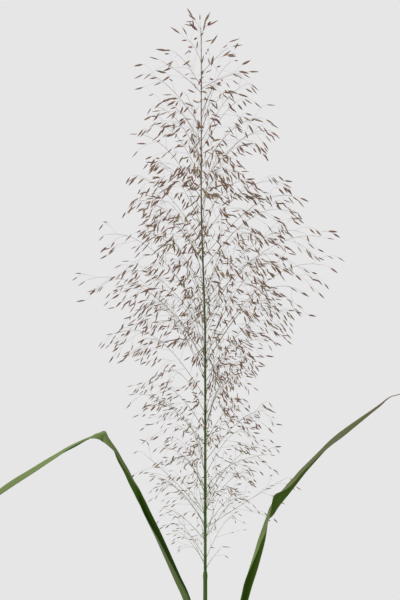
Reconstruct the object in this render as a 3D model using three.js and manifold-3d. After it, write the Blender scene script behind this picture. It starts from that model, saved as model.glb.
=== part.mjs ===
import * as THREE from "three";
import { mergeVertices } from "three/addons/utils/BufferGeometryUtils.js";
import Module from "manifold-3d";

// Lovegrass in a clay pot. Lengths are in millimetres, angles in degrees, +Z is up,
// and the origin is the centre of the pot's base.

// Clearance kept between pieces that touch on the real plant.
const GAP = 0.3;

// Clay pot
const POT_HEIGHT = 150;
const POT_BASE_RADIUS = 55;
const POT_SHOULDER_RADIUS = 73;
const POT_RIM_RADIUS = 82.5;
const POT_COLLAR_HEIGHT = 31;
const POT_COLLAR_STEP = 5;
const POT_WALL = 7;
const POT_FLOOR = 10;
const POT_EDGE = 2;
const POT_SIDES = 32;
const DRAIN_COUNT = 3;
const DRAIN_RADIUS = 6;
const DRAIN_RING = 27;

// Potting soil
const SOIL_TOP = 138;
const SOIL_BUMP = 1.6;
const SOIL_RINGS = 3;
const ROOT_DEPTH = 38;

// Main stem
const STEM_TOP = 917;
const STEM_FOOT_RADIUS = 2.2;
const STEM_NECK_RADIUS = 1.6;
const STEM_HEAD_RADIUS = 1.2;
const STEM_TIP_RADIUS = 0.4;
const STEM_SIDES = 8;
const STEM_BENDS = 9;
const STEM_RODS = 12;
const JOINT_HEIGHTS = [158, 205, 268, 349];
const JOINT_SWELL = 0.5;
const JOINT_HALF = 3;
const HEAD_JOINT = 484;
const HEAD_JOINT_SWELL = 0.25;
const LEAN = -3.2;
const LEAN_START = 665;
const LEAN_END = 790;

// Leaf sheaths and blades
const SHEATH_WALL = 0.7;
const SHEATH_SIDES = 10;
const SHEATH_CLEAR = 30;
const BLADE_EDGE = 0.6;
const BLADE_RIB = 1;
const BLADE_EASE = 1.6;

// Young shoots round the main stem
const SHOOT_COUNT = 6;
const SHOOT_NEAREST = 11;
const SHOOT_FARTHEST = 19;
const SHOOT_LOWEST = 48;
const SHOOT_TALLEST = 74;
const SHOOT_RADIUS = 2.3;
const SHOOT_NECK = 0.6;
const SHOOT_STRAIGHT = 12;
const SHOOT_SIDES = 6;
const SHOOT_BLADES = 4;
const SHOOT_BLADE_STEP = 9;
const SHOOT_BLADE_SHORTEST = 190;
const SHOOT_BLADE_LONGEST = 350;
const SHOOT_BLADE_NARROWEST = 3.8;
const SHOOT_BLADE_WIDEST = 5.4;
const SHOOT_BLADE_RIB = 1.3;
const SHOOT_STEPS = 6;

// Seed head
const HEAD_BASE = 488;
const HEAD_TOP = 909;
const SPRAY_COUNT = 34;
const SPRAY_LOWEST = 506;
const SPRAY_CROWDING = 1.1;
const GOLDEN_TURN = 137.5;
const SPRAY_STEPS = 4;
const SPRAY_BEND = 3;
const SPRAY_ROOT_ANGLE = 53;
const SPRAY_END_STEEPEST = 36;
const SPRAY_END_LOWEST = -14;
const SPRAY_ROOT_RADIUS = 0.95;
const SPRAY_END_RADIUS = 0.6;
const TWIGS_AT_LEAST = 2.5;
const TWIG_SPACING = 18;
const TWIG_FIRST = 0.2;
const TWIG_LAST = 0.97;
const TWIG_LOWEST_SHARE = 0.46;
const TWIG_TOP_SHARE = 0.1;
const TWIG_SHORTEST = 3;
const TWIG_LEAN = 46;
const TWIG_SAG = 0.34;
const TWIG_TURNS = 6;
const TWIG_TURN = 50;
const TWIG_ROOT_RADIUS = 0.34;
const TWIG_NECK_RADIUS = 0.4;
const SPIKELET_RADIUS = 0.85;
const SPIKELET_SHORTEST = 3.3;
const SPIKELET_SPAN = 2.7;
const SPIKELET_BELLY = 0.42;
const SIDE_SPIKELET_EVERY = 3;
const SIDE_STALK = 0.9;
const SIDE_POINT = 0.55;

// The usual length of a side branch by the height at which it leaves the stem.
const BRANCH_LENGTHS = [
  [488, 48],
  [560, 58],
  [590, 70],
  [640, 98],
  [665, 108],
  [720, 96],
  [760, 86],
  [800, 74],
  [840, 60],
  [900, 25],
  [934, 10],
];

const DEGREE = Math.PI / 180;
const UP = new THREE.Vector3(0, 0, 1);

const wasm = await Module();
wasm.setup();

// A repeatable number from 0 to 1 for each seed.
function random(seed) {
  const wave = Math.sin(seed * 12.9898) * 43758.5453;
  return wave - Math.floor(wave);
}

// A repeatable number from -1 to 1 for each seed.
function spread(seed) {
  return 2 * random(seed) - 1;
}

function mix(a, b, share) {
  return a + (b - a) * share;
}

function solidOf(geometry) {
  geometry.deleteAttribute("normal");
  geometry.deleteAttribute("uv");
  const merged = mergeVertices(geometry, 1e-4);
  return new wasm.Manifold(
    new wasm.Mesh({
      numProp: 3,
      vertProperties: merged.attributes.position.array,
      triVerts: new Uint32Array(merged.index.array),
    }),
  );
}

function geometryOf(solid) {
  const mesh = solid.getMesh();
  const geometry = new THREE.BufferGeometry();
  geometry.setAttribute("position", new THREE.BufferAttribute(mesh.vertProperties, 3));
  geometry.setIndex(new THREE.BufferAttribute(mesh.triVerts, 1));
  geometry.computeVertexNormals();
  return geometry;
}

function centreOf(ring) {
  const sum = new THREE.Vector3();
  ring.forEach((corner) => sum.add(corner));
  return sum.divideScalar(ring.length);
}

// A closed cylinder whose rows are moved onto the given rings, listed from the root to the tip.
// A last ring of one corner makes a point. The faces of turnedSides are split on the other diagonal.
function loft(rings, turnedSides = []) {
  const sides = rings[0].length;
  const steps = rings.length - 1;
  const pointed = rings[steps].length === 1;
  const geometry = new THREE.CylinderGeometry(pointed ? 0 : 1, 1, 1, sides, steps);
  const position = geometry.getAttribute("position");
  for (let i = 0; i < position.count; i++) {
    const x = position.getX(i);
    const z = position.getZ(i);
    const ring = rings[Math.round((position.getY(i) + 0.5) * steps)];
    const column = Math.round((Math.atan2(x, z) * sides) / (2 * Math.PI) + sides) % sides;
    const onAxis = Math.hypot(x, z) < 1e-6;
    const place = onAxis ? centreOf(ring) : ring[column];
    position.setXYZ(i, place.x, place.y, place.z);
  }
  const index = geometry.getIndex();
  for (const side of turnedSides) {
    for (let step = 0; step < steps; step++) {
      const first = (side * steps + step) * 6;
      const [a, b, d, , c] = index.array.slice(first, first + 5);
      index.array.set([a, b, c, a, c, d], first);
    }
  }
  return geometry;
}

// A direction square to the given one, the same for like directions.
function squareTo(direction) {
  const guide = Math.abs(direction.z) < 0.9 ? UP : new THREE.Vector3(1, 0, 0);
  return new THREE.Vector3().crossVectors(guide, direction).normalize();
}

// A round ring of corners, square to the direction. The first corner lies towards the guide.
function roundRing(centre, direction, radius, sides, guide = squareTo(direction)) {
  const across = guide.clone().addScaledVector(direction, -guide.dot(direction)).normalize();
  const over = new THREE.Vector3().crossVectors(direction, across).normalize();
  const ring = [];
  for (let i = 0; i < sides; i++) {
    const angle = (2 * Math.PI * i) / sides;
    const corner = centre.clone();
    corner.addScaledVector(across, radius * Math.cos(angle));
    corner.addScaledVector(over, radius * Math.sin(angle));
    ring.push(corner);
  }
  return ring;
}

// What each finished piece already takes up, as rods with round ends.
const taken = [];

function take(owner, from, to, radius) {
  taken.push({ owner, from, to, radius });
}

function gapBetween(a, b, c, d) {
  const along = new THREE.Vector3().subVectors(b, a);
  const other = new THREE.Vector3().subVectors(d, c);
  const apart = new THREE.Vector3().subVectors(a, c);
  const aa = along.dot(along);
  const bb = other.dot(other);
  const ab = along.dot(other);
  const ax = along.dot(apart);
  const bx = other.dot(apart);
  const flat = aa * bb - ab * ab;
  const s = flat > 1e-9 ? THREE.MathUtils.clamp((ab * bx - ax * bb) / flat, 0, 1) : 0;
  const t = THREE.MathUtils.clamp((ab * s + bx) / bb, 0, 1);
  const sAgain = THREE.MathUtils.clamp((ab * t - ax) / aa, 0, 1);
  const onFirst = a.clone().addScaledVector(along, sAgain);
  const onOther = c.clone().addScaledVector(other, t);
  return onFirst.distanceTo(onOther);
}

function isFree(owner, from, to, radius) {
  return taken.every(
    (rod) =>
      rod.owner === owner ||
      gapBetween(from, to, rod.from, rod.to) > radius + rod.radius + GAP,
  );
}

// Main stem: where its middle runs and how thick it is at each height.
function stemX(z) {
  return LEAN * THREE.MathUtils.smoothstep(z, LEAN_START, LEAN_END);
}

function stemRadius(z) {
  if (z < HEAD_BASE) {
    return mix(STEM_FOOT_RADIUS, STEM_NECK_RADIUS, (z - SOIL_TOP) / (HEAD_BASE - SOIL_TOP));
  }
  return mix(STEM_HEAD_RADIUS, STEM_TIP_RADIUS, (z - HEAD_BASE) / (STEM_TOP - HEAD_BASE));
}

function stemRing(z, swell) {
  return roundRing(new THREE.Vector3(stemX(z), 0, z), UP, stemRadius(z) + swell, STEM_SIDES);
}

function stemGeometry() {
  const stations = [[SOIL_TOP - ROOT_DEPTH, 0]];
  for (const joint of JOINT_HEIGHTS) {
    stations.push([joint - JOINT_HALF, 0], [joint, JOINT_SWELL], [joint + JOINT_HALF, 0]);
  }
  stations.push([HEAD_JOINT - JOINT_HALF, 0], [HEAD_JOINT, HEAD_JOINT_SWELL]);
  stations.push([HEAD_JOINT + JOINT_HALF, 0]);
  for (let i = 0; i <= STEM_BENDS; i++) {
    stations.push([mix(HEAD_BASE, STEM_TOP, i / STEM_BENDS), 0]);
  }
  return loft(stations.map(([z, swell]) => stemRing(z, swell)));
}

function takeStem() {
  for (let i = 0; i < STEM_RODS; i++) {
    const low = mix(SOIL_TOP, STEM_TOP, i / STEM_RODS);
    const high = mix(SOIL_TOP, STEM_TOP, (i + 1) / STEM_RODS);
    const from = new THREE.Vector3(stemX(low), 0, low);
    const to = new THREE.Vector3(stemX(high), 0, high);
    take("culm", from, to, stemRadius(low) + JOINT_SWELL);
  }
}

// Pot: the outline runs from the axis under the base, up the outside and down the inside.
function potInnerRadius(z) {
  const shoulder = POT_HEIGHT - POT_COLLAR_HEIGHT;
  if (z < shoulder) {
    return mix(POT_BASE_RADIUS, POT_SHOULDER_RADIUS, z / shoulder) - POT_WALL;
  }
  const rise = (z - shoulder) / POT_COLLAR_HEIGHT;
  return mix(POT_SHOULDER_RADIUS, POT_RIM_RADIUS, rise) - POT_WALL;
}

function latheUpright(points, sides) {
  const outline = points.map(([r, z]) => new THREE.Vector2(r, z));
  return new THREE.LatheGeometry(outline, sides).rotateX(Math.PI / 2);
}

function potGeometry() {
  const shoulder = POT_HEIGHT - POT_COLLAR_HEIGHT;
  const inner = [POT_HEIGHT - POT_EDGE, shoulder, POT_FLOOR];
  const body = solidOf(
    latheUpright(
      [
        [0, 0],
        [POT_BASE_RADIUS - POT_EDGE, 0],
        [POT_BASE_RADIUS, POT_EDGE],
        [POT_SHOULDER_RADIUS, shoulder],
        [POT_SHOULDER_RADIUS + POT_COLLAR_STEP, shoulder + POT_EDGE],
        [POT_RIM_RADIUS, POT_HEIGHT - POT_EDGE],
        [POT_RIM_RADIUS - POT_EDGE, POT_HEIGHT],
        [potInnerRadius(POT_HEIGHT) + POT_EDGE, POT_HEIGHT],
        ...inner.map((z) => [potInnerRadius(z), z]),
        [0, POT_FLOOR],
      ],
      POT_SIDES,
    ),
  );
  const holes = [];
  for (let i = 0; i < DRAIN_COUNT; i++) {
    const angle = (360 / DRAIN_COUNT) * i * DEGREE;
    const hole = new THREE.CylinderGeometry(DRAIN_RADIUS, DRAIN_RADIUS, POT_FLOOR * 3, 16);
    hole.rotateX(Math.PI / 2);
    hole.translate(DRAIN_RING * Math.cos(angle), DRAIN_RING * Math.sin(angle), 0);
    holes.push(solidOf(hole));
  }
  return geometryOf(body.subtract(wasm.Manifold.union(holes)));
}

// Soil: it fills the pot, with a lumpy top and a plain hole for each stem.
function soilHeight(x, y) {
  const lumps = Math.sin(x / 7 + 1.3) * Math.cos(y / 6) + 0.6 * Math.sin((x + y) / 3.7);
  return SOIL_TOP + SOIL_BUMP * lumps * 0.6;
}

function soilGeometry(holes) {
  const edge = potInnerRadius(SOIL_TOP) - GAP;
  const shoulder = POT_HEIGHT - POT_COLLAR_HEIGHT;
  const bottom = POT_FLOOR + GAP;
  const outline = [
    [0, bottom],
    [potInnerRadius(bottom) - GAP, bottom],
    [potInnerRadius(shoulder) - GAP, shoulder],
  ];
  for (let i = 0; i < SOIL_RINGS; i++) {
    outline.push([edge * (1 - i / SOIL_RINGS), SOIL_TOP]);
  }
  outline.push([0, SOIL_TOP]);
  const geometry = latheUpright(outline, POT_SIDES);
  const position = geometry.getAttribute("position");
  for (let i = 0; i < position.count; i++) {
    const x = position.getX(i);
    const y = position.getY(i);
    const inside = Math.hypot(x, y) < edge - 1;
    if (position.getZ(i) > SOIL_TOP - 1 && inside) {
      position.setZ(i, soilHeight(x, y));
    }
  }
  const cuts = holes.map(({ x, y, radius }) => {
    const depth = ROOT_DEPTH + GAP;
    const cut = new THREE.CylinderGeometry(radius, radius, 2 * depth, STEM_SIDES);
    cut.rotateX(Math.PI / 2).translate(x, y, SOIL_TOP);
    return solidOf(cut);
  });
  return geometryOf(solidOf(geometry).subtract(wasm.Manifold.union(cuts)));
}

// Blade cross-section, folded up along its midrib: seen from the tip it runs anticlockwise.
function bladeRing(centre, side, face, width, fold) {
  const out = (width / 2) * Math.cos(fold * DEGREE);
  const rise = (width / 2) * Math.sin(fold * DEGREE);
  const corners = [
    [out, rise - BLADE_EDGE / 2],
    [out, rise + BLADE_EDGE / 2],
    [0, BLADE_RIB / 2],
    [-out, rise + BLADE_EDGE / 2],
    [-out, rise - BLADE_EDGE / 2],
    [0, -BLADE_RIB / 2],
  ];
  return corners.map(([a, b]) => {
    const corner = centre.clone();
    return corner.addScaledVector(side, a).addScaledVector(face, b);
  });
}

// The two faces under the rib are split like the two above it.
const BLADE_TURNED_SIDES = [4, 5];

// Leaves of the main stem. Each station along a blade is
// [x, y, z, width, roll, fold]: roll turns the blade round its own middle line.
const LEAVES = [
  {
    name: "leaf_flag",
    joint: JOINT_HEIGHTS[3],
    collar: 419,
    azimuth: 180,
    steps: 32,
    colour: 0x5f8040,
    stations: [
      [-2, 0, 415, 5, 0, 50],
      [-7.6, -1, 437, 9.3, -4, 56],
      [-17.6, -2.2, 465.8, 12.5, -8, 59],
      [-24.4, -3.4, 481.1, 11.7, -16, 60],
      [-31.5, -4.6, 497.2, 11.4, -27, 58],
      [-38.7, -5.8, 513.3, 11.5, -40, 60],
      [-42.4, -6.4, 521.3, 11.8, -48, 60],
      [-46.2, -7, 529.3, 12.1, -55, 60],
      [-48.4, -7.5, 535.5, 11.4, -64, 60],
      [-49.8, -7.9, 541.8, 10.3, -80, 60],
      [-50.9, -8.2, 547.7, 10.3, -105, 58],
      [-52.4, -8.4, 553.6, 10.8, -128, 52],
      [-57.1, -8.8, 561.5, 9.8, -148, 43],
      [-61.1, -9.2, 569.5, 9.7, -157, 42],
      [-65.8, -9.8, 577.5, 9.3, -162, 43],
      [-70.3, -10.4, 585.5, 9.8, -176, 32],
      [-75.4, -10.9, 592.8, 10.4, -203, 33],
      [-78.3, -11.2, 596.7, 12.4, -220, 38],
      [-80.1, -11.4, 598.9, 13, -228, 40],
      [-82.2, -11.7, 598.7, 12.4, -224, 37],
      [-84.1, -12, 598.5, 11.6, -218, 34],
      [-87.8, -12.6, 597.8, 10.8, -200, 20],
      [-91.7, -13.2, 596.1, 10.4, -180, 16],
      [-95.7, -13.9, 594.6, 10.2, -175, 16],
      [-103.6, -15.5, 591.1, 10.2, -171, 24],
      [-111.4, -17.1, 587.1, 10.2, -174, 26],
      [-117.7, -18.5, 583.3, 10.2, -180, 30],
      [-127.1, -20.6, 577.9, 10.2, -185, 35],
      [-138.9, -23.2, 570.7, 10.2, -190, 40],
      [-150.6, -26.2, 563.8, 10, -196, 46],
      [-161.5, -29.2, 556.4, 9.8, -196, 46],
      [-189.2, -36, 535.6, 7, -196, 44],
      [-225.7, -46, 502.6, 1.2, -190, 20],
    ],
  },
  {
    name: "leaf_2",
    joint: JOINT_HEIGHTS[2],
    collar: 322,
    azimuth: 0,
    steps: 32,
    colour: 0x4c7a34,
    stations: [
      [2.2, 0, 318, 5, 0, 50],
      [5.6, -0.4, 338.1, 7.8, 20, 51],
      [9.4, -1.2, 361.2, 9.6, 50, 52],
      [14.8, -2.4, 393.3, 10.8, 80, 54],
      [22.2, -4, 432.5, 11.2, 96, 56],
      [30.3, -5.5, 466.3, 11.2, 101, 58],
      [32.6, -6, 479.9, 13, 113, 57],
      [35.1, -6.5, 489.9, 13.3, 126, 55],
      [39.9, -7.3, 505.6, 12.2, 147, 53],
      [42.2, -7.8, 513.6, 12.4, 158, 48],
      [45, -8.3, 521.6, 12.4, 174, 40],
      [47.8, -8.8, 529.6, 12.4, 178, 26],
      [49.6, -9.2, 534.5, 12.4, 164, 36],
      [51.2, -9.5, 539.3, 12.4, 150, 46],
      [54.2, -10, 544.1, 12.4, 138, 36],
      [57.7, -10.7, 548.9, 12.4, 127, 28],
      [61.6, -11.4, 553.7, 12.4, 138, 44],
      [65.6, -12.3, 558.6, 12.2, 150, 54],
      [70, -13.6, 563.4, 11.4, 157, 52],
      [75.6, -15.4, 569.9, 10.4, 160, 50],
      [81.9, -17.2, 576.3, 9, 163, 50],
      [91, -19.8, 585.6, 8.3, 172, 48],
      [98.8, -22, 593.6, 9, 190, 45],
      [106.8, -24.2, 600.4, 9, 212, 42],
      [115, -26.4, 605.9, 6.6, 222, 38],
      [122.8, -28.6, 611.6, 5.2, 220, 36],
      [130.4, -31, 617.2, 3.8, 216, 36],
      [138.1, -33.4, 623, 2.8, 212, 34],
      [142.4, -35, 626.6, 1.6, 208, 30],
      [146.6, -36.2, 629.1, 0.8, 204, 20],
      [149.9, -37.2, 629.9, 0.8, 200, 10],
      [153.3, -38, 630.9, 0.8, 200, 10],
      [161, -40, 631.8, 0.8, 200, 5],
    ],
  },
  {
    name: "leaf_3",
    joint: JOINT_HEIGHTS[1],
    collar: 240,
    azimuth: 180,
    steps: 14,
    colour: 0x5a7c3b,
    stations: [
      [-2.3, 0, 236, 4.8, 0, 50],
      [-6, 0, 254, 6.4, -4, 46],
      [-11, 0, 274, 7, -10, 40],
      [-29, 1, 325, 7.4, -20, 32],
      [-58, 3, 378, 7.4, 10, 26],
      [-96, 5, 402, 7.4, 30, 20],
      [-140, 7, 396, 7, 20, 18],
      [-181, 9, 360, 6, -10, 14],
      [-212, 10, 306, 4, -25, 12],
      [-231, 11, 256, 1.2, -30, 8],
    ],
  },
  {
    name: "leaf_4",
    joint: JOINT_HEIGHTS[0],
    collar: 184,
    azimuth: 0,
    steps: 14,
    colour: 0x668445,
    stations: [
      [2.4, 0, 180, 4.8, 0, 50],
      [6.4, 0, 196, 6, 5, 46],
      [12, 0, 215, 6.6, 15, 40],
      [30, -1, 262, 7, 25, 32],
      [56, -2, 306, 7, 5, 26],
      [92, -3, 326, 7, -25, 20],
      [132, -4, 318, 6.4, -20, 18],
      [166, -5, 284, 5.2, 10, 14],
      [192, -6, 226, 1.2, 25, 8],
    ],
  },
];

// The blade's middle line and its width, roll and fold, at a share of the way to the tip.
function bladeCurves(stations) {
  const places = stations.map(([x, y, z]) => new THREE.Vector3(x, y, z));
  const forms = stations.map(([, , , width, roll, fold]) => new THREE.Vector3(width, roll, fold));
  return {
    middle: new THREE.CatmullRomCurve3(places, false, "catmullrom", 0.5),
    form: new THREE.CatmullRomCurve3(forms, false, "catmullrom", 0.5),
  };
}

function bladeSolid(leaf) {
  const { middle, form } = bladeCurves(leaf.stations);
  const level = new THREE.Vector3(
    -Math.sin(leaf.azimuth * DEGREE),
    Math.cos(leaf.azimuth * DEGREE),
    0,
  );
  const ease = BLADE_EASE / (leaf.stations.length - 1);
  const rings = [];
  for (let i = 0; i <= leaf.steps; i++) {
    const share = i / leaf.steps;
    const centre = middle.getPoint(share);
    const along = middle.getPoint(Math.min(share + ease, 1));
    along.sub(middle.getPoint(Math.max(share - ease, 0))).normalize();
    const [width, roll, fold] = form.getPoint(share).toArray();
    const side = level.clone().addScaledVector(along, -level.dot(along)).normalize();
    side.applyAxisAngle(along, roll * DEGREE);
    const face = new THREE.Vector3().crossVectors(along, side);
    rings.push(bladeRing(centre, side, face, width, fold));
  }
  return solidOf(loft(rings, BLADE_TURNED_SIDES));
}

// A tapered rod round the stem whose flats lie clear of it, with a wall added.
function sheathTube(low, high, wall) {
  const corner = 1 / Math.cos(Math.PI / SHEATH_SIDES);
  const rings = [low, high].map((z) => {
    const radius = (stemRadius(z) + GAP + wall) * corner;
    return roundRing(new THREE.Vector3(0, 0, z), UP, radius, SHEATH_SIDES);
  });
  return solidOf(loft(rings));
}

// A sheath wraps the stem from just over its joint up to the collar, where the blade leaves.
function leafGeometry(leaf) {
  const low = leaf.joint + JOINT_HALF + GAP;
  const outer = sheathTube(low, leaf.collar, SHEATH_WALL);
  const bore = sheathTube(low - 1, leaf.collar + SHEATH_CLEAR, 0);
  return geometryOf(outer.add(bladeSolid(leaf)).subtract(bore));
}

function takeLeaf(leaf) {
  const { middle, form } = bladeCurves(leaf.stations);
  for (let i = 0; i < leaf.steps; i++) {
    const width = form.getPoint((i + 0.5) / leaf.steps).x;
    const from = middle.getPoint(i / leaf.steps);
    const to = middle.getPoint((i + 1) / leaf.steps);
    take(leaf.name, from, to, width / 2 + BLADE_EDGE);
  }
}

// The way that an arching blade or branch takes from its root: x away from the stem, z up.
// It leaves at one angle over the horizontal and turns towards another, the later the faster.
function archPoint(arch, share) {
  const slices = 12;
  const point = new THREE.Vector3();
  for (let i = 0; i < slices; i++) {
    const part = (share * (i + 0.5)) / slices;
    const angle = mix(arch.startAngle, arch.endAngle, part ** arch.bend) * DEGREE;
    point.x += (Math.cos(angle) * arch.length * share) / slices;
    point.z += (Math.sin(angle) * arch.length * share) / slices;
  }
  point.y = arch.sway * arch.length * share * share;
  return point;
}

function archDirection(arch, share) {
  const step = 0.01;
  const from = archPoint(arch, Math.max(share - step, 0));
  return archPoint(arch, Math.min(share + step, 1)).sub(from).normalize();
}

// Young shoots stand in a ring, each a short stalk with its blades arching outwards.
function shootPlan(number) {
  const angle = ((360 / SHOOT_COUNT) * (number + 0.5) + 7 * spread(number + 900)) * DEGREE;
  const distance = mix(SHOOT_NEAREST, SHOOT_FARTHEST, random(number + 910));
  return {
    name: `shoot_${number + 1}`,
    number,
    azimuth: angle,
    x: distance * Math.cos(angle),
    y: distance * Math.sin(angle),
    top: SOIL_TOP + mix(SHOOT_LOWEST, SHOOT_TALLEST, random(number + 920)),
  };
}

function shootBladePlans(shoot) {
  const plans = [];
  for (let i = 0; i < SHOOT_BLADES; i++) {
    const seed = shoot.number * 10 + i + 1000;
    const grown = mix(SHOOT_BLADE_SHORTEST, SHOOT_BLADE_LONGEST, random(seed + 100));
    plans.push({
      root: shoot.top - SHOOT_BLADE_STEP * (SHOOT_BLADES - i) + 6,
      turn: ((i % 2 ? 1 : -1) * mix(5, 19, random(seed)) * DEGREE * (i + 1)) / SHOOT_BLADES,
      length: grown * mix(0.66, 1, i / SHOOT_BLADES),
      startAngle: mix(74, 87, random(seed + 200)),
      endAngle: mix(-72, 12, random(seed + 300)),
      bend: mix(1.2, 2, random(seed + 350)),
      sway: 0.06 * spread(seed + 400),
      width: mix(SHOOT_BLADE_NARROWEST, SHOOT_BLADE_WIDEST, random(seed + 500)),
    });
  }
  return plans;
}

// A young blade is four-cornered: two edges, and the rib above and below.
function shootBladeSolid(shoot, plan) {
  const rings = [];
  for (let i = 0; i <= SHOOT_STEPS; i++) {
    const share = i / SHOOT_STEPS;
    const along = archDirection(plan, share);
    const side = new THREE.Vector3(0, 1, 0).addScaledVector(along, -along.y).normalize();
    const face = new THREE.Vector3().crossVectors(along, side);
    const taper = Math.min(0.45 + share * 4, 1) * (1 - share ** 2.4) + 0.12;
    const half = (plan.width * taper) / 2;
    const lift = half * 0.45;
    const corners = [
      [half * 0.9, lift],
      [0, SHOOT_BLADE_RIB / 2],
      [-half * 0.9, lift],
      [0, -SHOOT_BLADE_RIB / 2],
    ];
    const centre = archPoint(plan, share);
    rings.push(
      corners.map(([a, b]) => {
        const corner = centre.clone();
        return corner.addScaledVector(side, a).addScaledVector(face, b);
      }),
    );
  }
  const geometry = loft(rings, [2, 3]);
  geometry.rotateZ(shoot.azimuth + plan.turn);
  return solidOf(geometry.translate(0, 0, plan.root));
}

function shootGeometry(shoot) {
  const heights = [SOIL_TOP - ROOT_DEPTH, SOIL_TOP + SHOOT_STRAIGHT, shoot.top];
  const radii = [SHOOT_RADIUS, SHOOT_RADIUS, SHOOT_RADIUS * SHOOT_NECK];
  const stalk = loft(
    heights.map((z, i) => roundRing(new THREE.Vector3(0, 0, z), UP, radii[i], SHOOT_SIDES)),
  );
  const blades = shootBladePlans(shoot).map((plan) => shootBladeSolid(shoot, plan));
  return geometryOf(wasm.Manifold.union([solidOf(stalk), ...blades]));
}

// The seed head's side branches. A share of 0 is its base and 1 its top.
function branchLength(height) {
  const above = BRANCH_LENGTHS.findIndex(([high]) => height <= high);
  const [low, lowLength] = BRANCH_LENGTHS[above - 1];
  const [high, highLength] = BRANCH_LENGTHS[above];
  return mix(lowLength, highLength, (height - low) / (high - low));
}

function ruledBranch(number) {
  const order = (number + 0.5) / SPRAY_COUNT;
  const height = mix(SPRAY_LOWEST, HEAD_TOP, 1 - (1 - order) ** SPRAY_CROWDING);
  const share = (height - HEAD_BASE) / (HEAD_TOP - HEAD_BASE);
  const seed = number + 1;
  const fullness = Math.sin(Math.PI * share ** 0.8);
  return {
    height,
    azimuth: GOLDEN_TURN * number + 12 * spread(seed + 40) + 60,
    length: branchLength(height) * (1 + 0.12 * spread(seed + 80)),
    startAngle: SPRAY_ROOT_ANGLE + 6 * spread(seed + 120),
    endAngle: mix(SPRAY_END_STEEPEST, SPRAY_END_LOWEST, fullness) + 11 * spread(seed + 160),
    bend: SPRAY_BEND,
    sway: 0.1 * spread(seed + 200),
  };
}

// Branches that stand out from the rest, lowest first: height over the pot's base, azimuth
// (0 to the right, 180 to the left), length, angle over the horizontal at the root and at the
// tip, and how late the bend comes.
const MARKED_BRANCHES = [
  [491, 8, 17, 62, 45, 1],
  [500, 176, 36, 60, 50, 1],
  [523, 10, 74, 33, 29, 1],
  [534, 184, 68, 51, 39, 1],
  [554, -8, 58, 70, 6, 0.6],
  [657, 185, 122, 58, -18, 2.2],
  [663, 6, 124, 53, -14, 3],
  [700, -7, 112, 46, -12, 2.8],
  [871, 175, 40, 48, 30, 1],
  [874, 6, 36, 34, 10, 1],
];

function markedBranch([height, azimuth, length, startAngle, endAngle, bend]) {
  return { height, azimuth, length, startAngle, endAngle, bend, sway: 0 };
}

// The last branch goes on where the stem ends.
const TOP_BRANCH = {
  height: STEM_TOP + GAP,
  azimuth: 200,
  length: 12,
  startAngle: 88,
  endAngle: 70,
  bend: 1,
  sway: 0,
};

function branchPlans() {
  const plans = MARKED_BRANCHES.map(markedBranch);
  for (let i = 0; i < SPRAY_COUNT; i++) {
    plans.push(ruledBranch(i));
  }
  plans.sort((a, b) => a.height - b.height);
  plans.push(TOP_BRANCH);
  return plans.map((plan, i) => ({
    ...plan,
    number: i + 1,
    name: `spray_${String(i + 1).padStart(2, "0")}`,
    share: (plan.height - HEAD_BASE) / (HEAD_TOP - HEAD_BASE),
  }));
}

function spikeletLength(branch, seed) {
  const share = THREE.MathUtils.clamp(branch.share, 0, 1);
  const usual = SPIKELET_SHORTEST + SPIKELET_SPAN * share ** 0.8;
  return usual * (1 + 0.15 * spread(seed));
}

// Twigs leave the branch all round it, each turned on from the last.
function twigPlans(branch) {
  const count = Math.round(TWIGS_AT_LEAST + branch.length / TWIG_SPACING);
  const plans = [];
  for (let i = 0; i < count; i++) {
    const seed = branch.number * 50 + i + 2000;
    const start = mix(TWIG_FIRST, TWIG_LAST, (i + 0.5 + 0.3 * spread(seed)) / count);
    const usual = branch.length * mix(TWIG_LOWEST_SHARE, TWIG_TOP_SHARE, start);
    plans.push({
      start,
      length: usual * (1 + 0.25 * spread(seed + 3000)) + TWIG_SHORTEST,
      lean: TWIG_LEAN + 12 * spread(seed + 6000),
      turn: GOLDEN_TURN * i + 30 * spread(seed + 9000) + 90,
      sidePlace: mix(0.45, 0.75, random(seed + 12000)),
      spikelet: spikeletLength(branch, seed + 15000),
      seed,
    });
  }
  return plans;
}

// The same place on the straight stretches that the branch's solid is made of.
function branchAxisPoint(branch, share) {
  const step = Math.min(Math.floor(share * SPRAY_STEPS), SPRAY_STEPS - 1);
  const from = archPoint(branch, step / SPRAY_STEPS);
  return from.lerp(archPoint(branch, (step + 1) / SPRAY_STEPS), share * SPRAY_STEPS - step);
}

// How far a twig sags for its length: most in the middle of the head.
function sagOf(branch) {
  return TWIG_SAG * Math.sin(Math.PI * THREE.MathUtils.clamp(branch.share, 0, 1) ** 0.9);
}

function twigDirection(branch, twig, turn) {
  const along = archDirection(branch, twig.start);
  const across = squareTo(along);
  const over = new THREE.Vector3().crossVectors(along, across);
  const direction = along.clone().multiplyScalar(Math.cos(twig.lean * DEGREE));
  direction.addScaledVector(across, Math.sin(twig.lean * DEGREE) * Math.cos(turn * DEGREE));
  return direction.addScaledVector(over, Math.sin(twig.lean * DEGREE) * Math.sin(turn * DEGREE));
}

function twigPoint(root, direction, length, sag, share) {
  const point = root.clone().addScaledVector(direction, length * share);
  return point.addScaledVector(UP, -length * sag * share * share);
}

// A spikelet at the end of a twig: the twig's neck, the widest part, and the point.
function endRings(end, direction, length, guide) {
  const widest = end.clone().addScaledVector(direction, length * SPIKELET_BELLY);
  const point = end.clone().addScaledVector(direction, length);
  return [
    roundRing(end, direction, TWIG_NECK_RADIUS, 3, guide),
    roundRing(widest, direction, SPIKELET_RADIUS, 3, guide),
    [point],
  ];
}

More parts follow.
